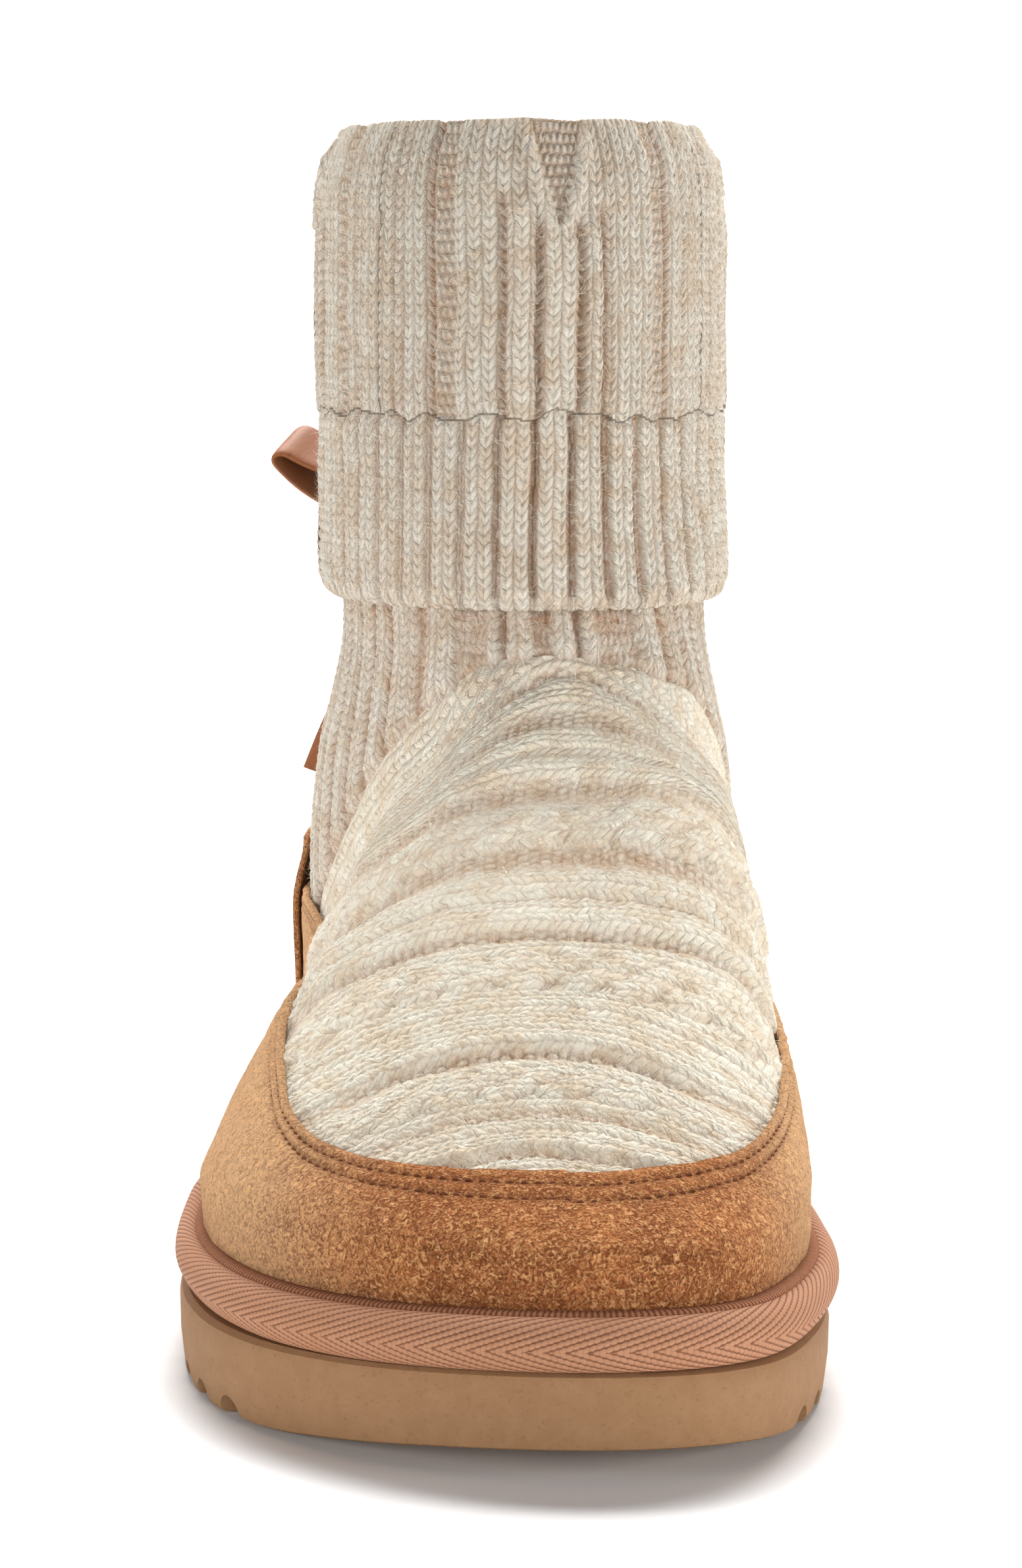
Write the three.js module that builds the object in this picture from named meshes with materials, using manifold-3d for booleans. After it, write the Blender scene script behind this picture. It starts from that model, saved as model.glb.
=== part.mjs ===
// A knit ankle bootie for the right foot, in millimetres, toe towards -Y, medial side towards +X, +Z up.
// A knitted upper with a turned-down cuff, a suede foxing band and heel counter, a taped binding,
// a foam outsole with scalloped lugs, a footbed, and a leather ribbon bow at the back of the cuff.
import * as THREE from 'three';
import { mergeVertices } from 'three/addons/utils/BufferGeometryUtils.js';
import Module from 'manifold-3d';

const wasm = await Module();
wasm.setup();

// Driving dimensions
const TOE_TIP = -134.5; // front of the sole
const HEEL_BACK = 135; // back of the sole
const TOE_ROUND = 66; // length over which the toe outline closes
const HEEL_ROUND = 46;
const HEEL_POWER = 2.3; // squareness of the heel outline
const UPPER_INSET = 5.2; // plan outline to the widest line of the upper
const SOLE_SHIFT = -0.8; // the sole is set a little towards the lateral side
const SHAFT_CENTRE = { x: 6.5, y: 67 };
const WALL = 3.0; // knit and its backing
const FIT_GAP = 0.3; // clearance where two pieces meet
const BLEND = 15; // reach of the soft join between foot and shaft
const COLUMNS = 64; // facets round the boot

// Settings of the search for the last's surface
const FIELD_SCALE = 42; // turns the field's ratios into about millimetres
const THINNEST = 0.5; // keeps those ratios finite at the tips
const HALVINGS = 44; // steps of the search along a ray
const OUTLINE_STEPS = 1440; // fineness of the outline that spaces the columns
const NORMAL_STEP = 0.4;
const WELD = 1e-4; // points closer than this are one

// Outline from above: centre line and half width before the ends are rounded
const PLAN = [
  { y: -137, centre: 14.0, half: 50.5 },
  { y: -120, centre: 7.2, half: 50.5 },
  { y: -102, centre: 2.4, half: 50.8 },
  { y: -85, centre: 0.5, half: 51.0 },
  { y: -60, centre: -1.2, half: 51.0 },
  { y: -35, centre: -1.4, half: 49.8 },
  { y: -10, centre: 0.8, half: 46.8 },
  { y: 25, centre: 4.4, half: 42.5 },
  { y: 60, centre: 6.2, half: 40.8 },
  { y: 95, centre: 6.5, half: 40.0 },
  { y: 137, centre: 6.5, half: 40.0 },
];

// Long profile: underside of the sole, its top edge, and the crest of the foot with its lean to the medial side
const PROFILE = [
  { y: -137, under: 5.4, top: 16.8, crest: 27.0, lean: 0 },
  { y: -128, under: 4.1, top: 15.7, crest: 32.0, lean: 0 },
  { y: -118, under: 2.4, top: 14.7, crest: 36.6, lean: 0 },
  { y: -104, under: 0.7, top: 14.0, crest: 41.0, lean: 0.5 },
  { y: -84, under: 0, top: 13.6, crest: 49.0, lean: 2.0 },
  { y: -60, under: 0, top: 13.7, crest: 60.5, lean: 5.0 },
  { y: -35, under: 0, top: 14.2, crest: 75.0, lean: 8.0 },
  { y: -10, under: 0.7, top: 15.2, crest: 91.0, lean: 10.0 },
  { y: 15, under: 1.6, top: 16.8, crest: 106.0, lean: 10.0 },
  { y: 40, under: 0.8, top: 18.2, crest: 122.0, lean: 8.0 },
  { y: 60, under: 0, top: 19.2, crest: 136.0, lean: 3.0 },
  { y: 100, under: 0, top: 20.2, crest: 150.0, lean: 0 },
  { y: 137, under: 0, top: 20.6, crest: 150.0, lean: 0 },
];

// Shaft: front and back of the tube, its half width, and the back of the heel at the same height
const SHAFT = [
  { z: 12, front: 34, back: 122, half: 34.0, heel: 127.8 },
  { z: 40, front: 32, back: 121, half: 37.0, heel: 130.3 },
  { z: 65, front: 28, back: 118.5, half: 38.6, heel: 125.5 },
  { z: 85, front: 23, back: 117, half: 36.8, heel: 117.0 },
  { z: 95, front: 21, back: 116.7, half: 34.2, heel: 112.0 },
  { z: 106, front: 19, back: 116.5, half: 32.4, heel: 107.0 },
  { z: 125, front: 17, back: 116.5, half: 33.3, heel: 100.0 },
  { z: 205, front: 15, back: 117.5, half: 34.1, heel: 90.0 },
];
const WIDEST_Z = 28; // height of the foot's widest line
const TUCK_DEPTH = 46; // how slowly the foot narrows below that line
const SIDE_POWER = 2.15; // fullness of the foot's cross-section
const CREST_POWER = 2.0;
const SHAFT_POWER = 2.05;
const REACH = 260; // longest ray from the shaft's axis
const STRAIGHT_Z = 62; // above this height the rings are level

// Rings of the outside of the knit below the cuff, and of the inside, by nominal height
const FEATHER_Z = 13.4;
const OUTSIDE_Z = [FEATHER_Z, 18, 23, 28, 32.5, 36.5, 40.5, 45, 50.5, 57, 65, 74, 84, 94, 103];
const INSIDE_Z = [165, 130, 112, 98, 84, 70, 57, 46, 38, 31, 23, FEATHER_Z];

// Turned-down cuff: distance outside the shaft's own surface at each height, from the gap round to the rim
const HEM_Z = 114.0;
const RIM_Z = 200.0;
const CUFF = [
  { z: 113, out: 0 },
  { z: 150, out: 0 },
  { z: 188, out: 0.2 },
  { z: 150, out: 0.8 },
  { z: HEM_Z + 3.0, out: 0.8 },
  { z: HEM_Z + 0.6, out: 1.6 },
  { z: HEM_Z, out: 2.8 },
  { z: HEM_Z + 0.9, out: 4.0 },
  { z: HEM_Z + 4.0, out: 4.6 },
  { z: 130, out: 4.4 },
  { z: 150, out: 4.1 },
  { z: 170, out: 4.1 },
  { z: 186, out: 4.0 },
  { z: 194.5, out: 3.2 },
  { z: 198.5, out: 1.4 },
  { z: RIM_Z, out: -0.4 },
  { z: 198.6, out: -2.1 },
  { z: 193, out: -WALL },
];

// Suede foxing: height of its upper edge, and its thickness
const SUEDE = 1.2;
const FOXING_EDGE = [
  { y: -137, lateral: 39.4, medial: 39.2 },
  { y: -116, lateral: 39.4, medial: 39.0 },
  { y: -106, lateral: 40.2, medial: 39.5 },
  { y: -94, lateral: 43.0, medial: 40.8 },
  { y: -86, lateral: 46.0, medial: 41.7 },
  { y: -69, lateral: 50.2, medial: 43.6 },
  { y: -54, lateral: 52.6, medial: 45.4 },
  { y: -30, lateral: 53.4, medial: 46.8 },
  { y: 0, lateral: 51.6, medial: 48.0 },
  { y: 30, lateral: 51.0, medial: 50.0 },
  { y: 46, lateral: 53.0, medial: 53.0 },
  { y: 62, lateral: 62.0, medial: 62.0 },
  { y: 137, lateral: 64.0, medial: 64.0 },
];
const FOXING_BASE = 1.6; // above the sole's edge
const FOXING_ROWS = 7;
const FOXING_SEAT = 1.0; // off the knit, so that its facets clear the knit's

// Heel counter: share of the way round from the centre back to each front edge, heights and lift
const COUNTER = { reach: 7, base: 33, top: 74, cornerDrop: 9, dropPower: 1.4, rows: 6, lift: 0.4, liftPower: 4 };

// Binding: section of the taped cord, distance out from the knit and height above the sole's edge
const BINDING = [
  { out: 3.0, up: 0.5 },
  { out: 5.4, up: 0.3 },
  { out: 6.9, up: 1.6 },
  { out: 7.5, up: 4.2 },
  { out: 6.7, up: 6.8 },
  { out: 5.0, up: 8.2 },
  { out: 3.1, up: 7.6 },
];

// Side of the outsole: height as a share of its thickness, distance inside the plan outline
const SOLE_SIDE = [
  { share: 0, inset: 2.2 },
  { share: 0.16, inset: 0.5 },
  { share: 0.5, inset: 0 },
  { share: 0.86, inset: 0.3 },
  { share: 1, inset: 1.0 },
];
const LUG = { radius: 3.1, pitch: 11, first: -97, last: 123, reach: 13, overhang: 4, sides: 12 };

const INSOLE = { inset: 2.6, thick: 5.0, round: 1.5 };

// Bow: ribbon section, the place of its knot, and the routes of its loops and tails from the knot.
// Each row gives the ribbon's centre and the way its width points: inward to the knot, back and up.
const RIBBON_THICK = 1.5;
const KNOT = { x: 3.5, z: 124, wide: 10, tall: 13, deep: 9.5, seat: 4.5, curve: 8 };
const LATERAL_LOOP = [
  { out: 5.4, back: 4.9, up: 2.9, width: 8.4, inward: 0, aback: 1, rise: 0.1 },
  { out: 13, back: 5.4, up: 4.9, width: 10.0, inward: 0.1, aback: 0.95, rise: 0.2 },
  { out: 25, back: 5.4, up: 7.8, width: 11.4, inward: 0.25, aback: 0.85, rise: 0.35 },
  { out: 35, back: 5.0, up: 12.0, width: 11.5, inward: 0.4, aback: 0.78, rise: 0.48 },
  { out: 39.6, back: 4.8, up: 14.2, width: 11.5, inward: 0.45, aback: 0.75, rise: 0.48 },
  { out: 41.5, back: 4.7, up: 13.3, width: 11.5, inward: 0.45, aback: 0.75, rise: 0.48 },
  { out: 40.2, back: 4.7, up: 11.2, width: 11.5, inward: 0.45, aback: 0.75, rise: 0.48 },
  { out: 35, back: 4.9, up: 6.6, width: 11.5, inward: 0.4, aback: 0.78, rise: 0.46 },
  { out: 25, back: 5.2, up: 0.2, width: 11.2, inward: 0.2, aback: 0.9, rise: 0.3 },
  { out: 13, back: 5.4, up: -2.6, width: 10.0, inward: 0.1, aback: 0.95, rise: 0.15 },
  { out: 5.4, back: 4.9, up: -2.6, width: 8.4, inward: 0, aback: 1, rise: 0.1 },
];
const MEDIAL_LOOP_SHARE = 0.97; // the medial loop is tied a little shorter
const LATERAL_TAIL = [
  { out: 2.6, back: 1.6, up: -7.6, width: 9.0, inward: 0.75, aback: 0, rise: -0.66 },
  { out: 9, back: 1.2, up: -12.6, width: 10.5, inward: 0.68, aback: 0, rise: -0.73 },
  { out: 17.0, back: 0.8, up: -20.5, width: 11.4, inward: 0.8, aback: 0, rise: -0.6 },
  { out: 23.2, back: 0.8, up: -31, width: 11.5, inward: 0.92, aback: 0, rise: -0.39 },
  { out: 28.8, back: 1.2, up: -42, width: 11.5, inward: 0.94, aback: 0, rise: -0.34 },
  { out: 33.2, back: 2.0, up: -52.4, width: 11.5, inward: 0.945, aback: 0, rise: -0.33 },
];

// Smooth reading of a short table: a cubic through the rows that never swings past them
function read(table, key, column, at) {
  const last = table.length - 1;
  if (at <= table[0][key]) return table[0][column];
  if (at >= table[last][key]) return table[last][column];
  let i = 0;
  while (table[i + 1][key] < at) i += 1;
  const step = (k) => (table[k + 1][column] - table[k][column]) / (table[k + 1][key] - table[k][key]);
  const slopeAt = (k) => {
    const before = step(Math.max(k - 1, 0));
    const after = step(Math.min(k, last - 1));
    return before * after <= 0 ? 0 : (2 * before * after) / (before + after);
  };
  const span = table[i + 1][key] - table[i][key];
  const t = (at - table[i][key]) / span;
  const s = 1 - t;
  return (
    s * s * (1 + 2 * t) * table[i][column] +
    t * t * (1 + 2 * s) * table[i + 1][column] +
    s * s * t * span * slopeAt(i) -
    t * t * s * span * slopeAt(i + 1)
  );
}

// Half width of the plan outline, closed by rounded ends
function planHalf(y, inset, heelBack = HEEL_BACK - inset) {
  const fromToe = THREE.MathUtils.clamp((y - TOE_TIP - inset) / TOE_ROUND, 0, 1);
  const fromHeel = THREE.MathUtils.clamp((heelBack - y) / HEEL_ROUND, 0, 1);
  const toe = Math.sqrt(1 - (1 - fromToe) ** 2);
  const heel = (1 - (1 - fromHeel) ** HEEL_POWER) ** (1 / HEEL_POWER);
  return Math.max(read(PLAN, 'y', 'half', y) - inset, 0) * toe * heel;
}

// The last's surface as a field, in about millimetres: negative inside, zero on the knit's outer face
function lastField(x, y, z) {
  const crest = read(PROFILE, 'y', 'crest', y);
  const rise = z > WIDEST_Z ? (z - WIDEST_Z) / Math.max(crest - WIDEST_Z, THINNEST) : (WIDEST_Z - z) / TUCK_DEPTH;
  const lean = z > WIDEST_Z ? read(PROFILE, 'y', 'lean', y) * (1 - (1 - Math.min(rise, 1)) ** 2) : 0;
  const heelBack = read(SHAFT, 'z', 'heel', z);
  const half = Math.max(planHalf(y, UPPER_INSET, heelBack), THINNEST);
  const across = Math.abs(x - read(PLAN, 'y', 'centre', y) - lean) / half;
  const foot = ((across ** SIDE_POWER + rise ** CREST_POWER) ** (1 / SIDE_POWER) - 1) * FIELD_SCALE;
  const front = read(SHAFT, 'z', 'front', z);
  const back = read(SHAFT, 'z', 'back', z);
  const sideways = Math.abs(x - SHAFT_CENTRE.x) / read(SHAFT, 'z', 'half', z);
  const lengthways = Math.abs(y - (front + back) / 2) / ((back - front) / 2);
  const tube = ((sideways ** SHAFT_POWER + lengthways ** SHAFT_POWER) ** (1 / SHAFT_POWER) - 1) * FIELD_SCALE;
  const closeness = Math.max(BLEND - Math.abs(foot - tube), 0) / BLEND;
  return Math.min(foot, tube) - (closeness * closeness * BLEND) / 4;
}

// Where a level ray from the shaft's axis leaves a field
function leave(field, angle, z) {
  let near = 0;
  let far = REACH;
  for (let step = 0; step < HALVINGS; step += 1) {
    const middle = (near + far) / 2;
    const x = SHAFT_CENTRE.x + middle * Math.sin(angle);
    const y = SHAFT_CENTRE.y - middle * Math.cos(angle);
    if (field(x, y, z) < 0) near = middle;
    else far = middle;
  }
  return new THREE.Vector3(SHAFT_CENTRE.x + near * Math.sin(angle), SHAFT_CENTRE.y - near * Math.cos(angle), z);
}

// Outward normal of the last at a point of its surface
function lastNormal(p) {
  const step = NORMAL_STEP;
  return new THREE.Vector3(
    lastField(p.x + step, p.y, p.z) - lastField(p.x - step, p.y, p.z),
    lastField(p.x, p.y + step, p.z) - lastField(p.x, p.y - step, p.z),
    lastField(p.x, p.y, p.z + step) - lastField(p.x, p.y, p.z - step),
  ).normalize();
}

// Plan outlines as fields, for the sole, the insole and the spacing of the columns
const planField = (inset, shift = 0) => (x, y) =>
  y < TOE_TIP + inset || y > HEEL_BACK - inset
    ? 1
    : Math.abs(x - read(PLAN, 'y', 'centre', y) - shift) - planHalf(y, inset);

// Angles from the shaft's axis that share out the outline of the foot evenly, starting at the toe
function evenAngles(count) {
  const fine = OUTLINE_STEPS;
  const outline = Array.from({ length: fine + 1 }, (_, i) =>
    leave(planField(UPPER_INSET), (i / fine) * 2 * Math.PI, 0),
  );
  const run = [0];
  for (let i = 1; i <= fine; i += 1) run.push(run[i - 1] + outline[i].distanceTo(outline[i - 1]));
  return Array.from({ length: count }, (_, column) => {
    const goal = (run[fine] * column) / count;
    const i = run.findIndex((length) => length > goal) - 1;
    return ((i + (goal - run[i]) / (run[i + 1] - run[i])) / fine) * 2 * Math.PI;
  });
}
const ANGLES = evenAngles(COLUMNS);
const EDGE_Y = ANGLES.map((angle) => leave(planField(UPPER_INSET), angle, 0).y);

// Low rings follow the sole's upper edge, high rings are level
function ringZ(nominal, column) {
  const fade = THREE.MathUtils.clamp((STRAIGHT_Z - nominal) / (STRAIGHT_Z - FEATHER_Z), 0, 1);
  return nominal + 2 * FIT_GAP + (read(PROFILE, 'y', 'top', EDGE_Y[column]) - FEATHER_Z) * fade;
}

// A point of the upper at a height, pushed out from the knit's face along its normal
function onUpper(column, z, out = 0) {
  const p = leave(lastField, ANGLES[column], z);
  return out === 0 ? p : p.addScaledVector(lastNormal(p), out);
}

// As onUpper, but pushed out level, so that the height stays
function besideUpper(column, z, out) {
  const p = leave(lastField, ANGLES[column], z);
  const normal = lastNormal(p).setZ(0).normalize();
  return p.addScaledVector(normal, out);
}

const ring = (make) => ANGLES.map((_, column) => make(column));

// Mesh from shared points and triangles, turned so that its faces point out
function closedGeometry(points, triangles) {
  let volume = 0;
  for (const [a, b, c] of triangles) {
    volume += points[a].dot(new THREE.Vector3().crossVectors(points[b], points[c])) / 6;
  }
  const turned = volume < 0 ? triangles.map(([a, b, c]) => [a, c, b]) : triangles;
  const geometry = new THREE.BufferGeometry().setFromPoints(points);
  geometry.setIndex(turned.flat());
  return geometry;
}

// Two triangles between neighbouring points of neighbouring rings
const quad = (a, b, c, d) => [
  [a, b, c],
  [a, c, d],
];

// A tube whose profile closes on itself: the last ring joins the first
function sleeve(rings) {
  const count = rings[0].length;
  const triangles = [];
  for (let r = 0; r < rings.length; r += 1) {
    const next = (r + 1) % rings.length;
    for (let i = 0; i < count; i += 1) {
      const j = (i + 1) % count;
      triangles.push(...quad(r * count + i, r * count + j, next * count + j, next * count + i));
    }
  }
  return closedGeometry(rings.flat(), triangles);
}

// A solid slab: rings up the side, and its first and last rings closed across from side to side
function slab(rings) {
  const count = rings[0].length;
  const triangles = [];
  for (let r = 0; r + 1 < rings.length; r += 1) {
    for (let i = 0; i < count; i += 1) {
      const j = (i + 1) % count;
      triangles.push(...quad(r * count + i, r * count + j, (r + 1) * count + j, (r + 1) * count + i));
    }
  }
  const close = (start, turn) => {
    const lid = [];
    for (let i = 0; i < count / 2; i += 1) {
      const left = start + i;
      const right = start + ((count - i) % count);
      const corners = [left, left + 1, start + count - i - 1, right];
      if (i > 0) lid.push([corners[0], corners[1], corners[3]]);
      if (i + 1 < count / 2) lid.push([corners[1], corners[2], corners[3]]);
    }
    triangles.push(...(turn ? lid.map(([a, b, c]) => [a, c, b]) : lid));
  };
  close(0, true);
  close((rings.length - 1) * count, false);
  return closedGeometry(rings.flat(), triangles);
}

// A curved panel: an inner and an outer grid of the same size, joined round their edges
function panel(inner, outer) {
  const rows = inner.length;
  const count = inner[0].length;
  const shift = rows * count;
  const at = (r, i) => r * count + i;
  const triangles = [];
  for (let r = 0; r + 1 < rows; r += 1) {
    for (let i = 0; i + 1 < count; i += 1) {
      const face = quad(at(r, i), at(r, i + 1), at(r + 1, i + 1), at(r + 1, i));
      triangles.push(...face.map(([a, b, c]) => [a, c, b]));
      triangles.push(...face.map((corner) => corner.map((v) => v + shift)));
    }
  }
  const border = [];
  for (let i = 0; i < count - 1; i += 1) border.push(at(0, i));
  for (let r = 0; r < rows - 1; r += 1) border.push(at(r, count - 1));
  for (let i = count - 1; i > 0; i -= 1) border.push(at(rows - 1, i));
  for (let r = rows - 1; r > 0; r -= 1) border.push(at(r, 0));
  border.forEach((a, k) => {
    const b = border[(k + 1) % border.length];
    triangles.push(...quad(a, b, b + shift, a + shift));
  });
  return closedGeometry([...inner.flat(), ...outer.flat()], triangles);
}

// Joins and cuts
function toSolid(geometry) {
  const bare = geometry.clone();
  bare.deleteAttribute('normal');
  bare.deleteAttribute('uv');
  const merged = mergeVertices(bare, WELD);
  return new wasm.Manifold(
    new wasm.Mesh({
      numProp: 3,
      vertProperties: new Float32Array(merged.attributes.position.array),
      triVerts: new Uint32Array(merged.index.array),
    }),
  );
}

function fromSolid(solid) {
  const mesh = solid.getMesh();
  const geometry = new THREE.BufferGeometry();
  geometry.setAttribute('position', new THREE.BufferAttribute(mesh.vertProperties, 3));
  geometry.setIndex(new THREE.BufferAttribute(mesh.triVerts, 1));
  return geometry;
}

// The knit upper: up the outside, round the turned-down cuff, over the rim and down the inside
function makeUpper() {
  const outside = OUTSIDE_Z.map((z) => ring((column) => onUpper(column, ringZ(z, column))));
  const cuff = CUFF.map(({ z, out }) => ring((column) => besideUpper(column, z, out)));
  const inside = INSIDE_Z.map((z) => ring((column) => onUpper(column, ringZ(z, column), -WALL)));
  return sleeve([...outside, ...cuff, ...inside]);
}

// The suede band from the sole's edge to its own upper edge
function makeFoxing() {
  const face = (out) =>
    Array.from({ length: FOXING_ROWS }, (_, row) =>
      ring((column) => {
        const base = read(PROFILE, 'y', 'top', EDGE_Y[column]) + FOXING_BASE;
        const side = column < COLUMNS / 2 ? 'medial' : 'lateral';
        const edge = read(FOXING_EDGE, 'y', side, EDGE_Y[column]);
        return onUpper(column, THREE.MathUtils.lerp(base, edge, row / (FOXING_ROWS - 1)), out);
      }),
    );
  return sleeve([...face(FOXING_SEAT), ...face(FOXING_SEAT + SUEDE).reverse()]);
}

// The heel counter: its front edges stand off the foxing, its top edge falls towards them
function makeCounter() {
  const back = COLUMNS / 2;
  const seat = FOXING_SEAT + SUEDE + 2 * FIT_GAP;
  const face = (thickness) =>
    Array.from({ length: COUNTER.rows }, (_, row) =>
      Array.from({ length: 2 * COUNTER.reach + 1 }, (_, i) => {
        const side = (i - COUNTER.reach) / COUNTER.reach;
        const top = COUNTER.top - COUNTER.cornerDrop * Math.abs(side) ** COUNTER.dropPower;
        const z = THREE.MathUtils.lerp(COUNTER.base, top, row / (COUNTER.rows - 1));
        const lift = COUNTER.lift * side ** COUNTER.liftPower;
        return onUpper(back + i - COUNTER.reach, z, seat + lift + thickness);
      }),
    );
  return panel(face(0), face(SUEDE));
}

// The taped cord round the sole's edge
function makeBinding() {
  return sleeve(
    BINDING.map(({ out, up }) =>
      ring((column) => {
        const p = besideUpper(column, read(PROFILE, 'y', 'top', EDGE_Y[column]) + up, out);
        return p.setZ(read(PROFILE, 'y', 'top', p.y) + up);
      }),
    ),
  );
}

// The foam sole with half-round scallops cut into both lower edges
function makeOutsole() {
  const block = slab(
    SOLE_SIDE.map(({ share, inset }) =>
      ring((column) => {
        const p = leave(planField(inset, SOLE_SHIFT), ANGLES[column], 0);
        const under = read(PROFILE, 'y', 'under', p.y);
        const top = read(PROFILE, 'y', 'top', p.y);
        return p.setZ(THREE.MathUtils.lerp(under, top, share));
      }),
    ),
  );
  let sole = toSolid(block);
  const cutter = new THREE.CylinderGeometry(LUG.radius, LUG.radius, LUG.reach + LUG.overhang, LUG.sides);
  cutter.rotateZ(Math.PI / 2);
  for (let y = LUG.first; y <= LUG.last; y += LUG.pitch) {
    for (const side of [-1, 1]) {
      const edge = read(PLAN, 'y', 'centre', y) + SOLE_SHIFT + side * planHalf(y, 0);
      const x = edge - (side * (LUG.reach - LUG.overhang)) / 2;
      const notch = cutter.clone().translate(x, y, read(PROFILE, 'y', 'under', y));
      sole = sole.subtract(toSolid(notch));
    }
  }
  return fromSolid(sole);
}

// The footbed on top of the sole, inside the knit
function makeInsole() {
  const layer = (inset, up) =>
    ring((column) => {
      const p = leave(planField(UPPER_INSET + WALL + inset), ANGLES[column], 0);
      return p.setZ(read(PROFILE, 'y', 'top', p.y) + FIT_GAP + up);
    });
  return slab([
    layer(INSOLE.inset, 0),
    layer(INSOLE.inset, INSOLE.thick - INSOLE.round),
    layer(INSOLE.inset + INSOLE.round, INSOLE.thick),
  ]);
}

// A flat ribbon along a route from the knot, on one side of it
function ribbon(route, side, seatY, share = 1) {
  const centre = (row) =>
    new THREE.Vector3(KNOT.x + side * row.out * share, seatY + row.back, KNOT.z + row.up);
  const points = [];
  route.forEach((row, i) => {
    const ahead = centre(route[Math.min(i + 1, route.length - 1)]);
    const along = ahead.sub(centre(route[Math.max(i - 1, 0)])).normalize();
    const across = new THREE.Vector3(-side * row.inward, row.aback, row.rise);
    across.addScaledVector(along, -across.dot(along)).normalize();
    const through = new THREE.Vector3().crossVectors(along, across);
    for (const [w, t] of [[-1, -1], [1, -1], [1, 1], [-1, 1]]) {
      points.push(
        centre(row)
          .addScaledVector(across, (w * row.width) / 2)
          .addScaledVector(through, (t * RIBBON_THICK) / 2),
      );
    }
  });
  const triangles = [];
  for (let i = 0; i + 1 < route.length; i += 1) {
    for (let k = 0; k < 4; k += 1) {
      const next = (k + 1) % 4;
      triangles.push(...quad(4 * i + k, 4 * i + next, 4 * i + 4 + next, 4 * i + 4 + k));
    }
  }
  const end = 4 * (route.length - 1);
  triangles.push(...quad(3, 2, 1, 0), ...quad(end, end + 1, end + 2, end + 3));
  return closedGeometry(points, triangles);
}

// The wrapped knot, a rounded block against the back of the cuff
function makeKnot(seatY) {
  const shape = new THREE.Shape();
  const half = { x: KNOT.wide / 2, z: KNOT.tall / 2 };
  shape.absellipse(0, 0, half.x, half.z, 0, 2 * Math.PI, false, 0);
  const geometry = new THREE.ExtrudeGeometry(shape, {
    depth: KNOT.deep,
    bevelEnabled: false,
    curveSegments: KNOT.curve,
  });
  geometry.rotateX(Math.PI / 2);
  geometry.translate(KNOT.x, seatY + KNOT.deep, KNOT.z);
  return geometry;
}

// Materials
const finish = (color, roughness) => new THREE.MeshStandardMaterial({ color, roughness, metalness: 0 });
const KNIT = finish(0xdcd2c0, 0.95);
const SUEDE_LEATHER = finish(0xb57b45, 0.9);
const TAPE = finish(0xbe8a65, 0.75);
const FOAM = finish(0xa98158, 0.7);
const PLUSH = finish(0xe8dfcf, 1.0);
const RIBBON_LEATHER = finish(0xa9693f, 0.6);

const bootie = new THREE.Group();
function addPiece(name, geometry, material) {
  const mesh = new THREE.Mesh(geometry, material);
  mesh.name = name;
  bootie.add(mesh);
}

const knotSeat = besideUpper(COLUMNS / 2, KNOT.z, KNOT.seat).y + FIT_GAP;

addPiece('outsole', makeOutsole(), FOAM);
addPiece('binding', makeBinding(), TAPE);
addPiece('insole', makeInsole(), PLUSH);
addPiece('knit_upper', makeUpper(), KNIT);
addPiece('suede_foxing', makeFoxing(), SUEDE_LEATHER);
addPiece('heel_counter', makeCounter(), SUEDE_LEATHER);
addPiece('bow_knot', makeKnot(knotSeat), RIBBON_LEATHER);
addPiece('bow_loop_lateral', ribbon(LATERAL_LOOP, -1, knotSeat), RIBBON_LEATHER);
addPiece('bow_loop_medial', ribbon(LATERAL_LOOP, 1, knotSeat, MEDIAL_LOOP_SHARE), RIBBON_LEATHER);
addPiece('bow_tail_lateral', ribbon(LATERAL_TAIL, -1, knotSeat), RIBBON_LEATHER);
addPiece('bow_tail_medial', ribbon(LATERAL_TAIL, 1, knotSeat + RIBBON_THICK + 2 * FIT_GAP), RIBBON_LEATHER);

export default bootie;
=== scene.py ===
# %% [markdown]
# # A knit ankle bootie, dressed around its solids
# The solids give the true size and place of every piece. This lesson covers them with what a solid
# cannot show: knitted stitches, suede nap, woven tape, thread and a soft leather bow.
# Each soft surface is laid on the same last that shaped the solids, so nothing needs fitting.

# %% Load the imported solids
from math import radians

import bpy
import numpy as np
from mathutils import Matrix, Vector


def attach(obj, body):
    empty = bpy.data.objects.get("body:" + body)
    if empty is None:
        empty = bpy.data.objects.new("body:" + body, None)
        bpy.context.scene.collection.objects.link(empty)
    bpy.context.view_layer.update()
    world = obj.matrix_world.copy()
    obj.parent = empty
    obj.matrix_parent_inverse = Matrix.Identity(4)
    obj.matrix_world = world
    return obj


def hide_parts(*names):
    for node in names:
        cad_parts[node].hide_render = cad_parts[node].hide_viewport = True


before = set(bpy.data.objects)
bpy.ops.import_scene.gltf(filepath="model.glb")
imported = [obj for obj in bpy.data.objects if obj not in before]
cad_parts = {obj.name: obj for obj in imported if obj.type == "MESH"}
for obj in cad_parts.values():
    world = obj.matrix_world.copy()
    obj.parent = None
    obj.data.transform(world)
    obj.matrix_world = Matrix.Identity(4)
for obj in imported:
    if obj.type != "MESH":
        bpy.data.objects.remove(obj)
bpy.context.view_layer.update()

bpy.ops.object.select_all(action="DESELECT")
MM = 0.001

# %% [markdown]
# ## The camera and the studio
# The boot is seen from the front, a little from above, through a long lens. A sheet that curves up behind
# it works as floor and wall in one. Two planes would do too, but their corner would show as a line.
# Large lamps give light without hard edges, and a small one with a narrow beam lifts the instep.

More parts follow.
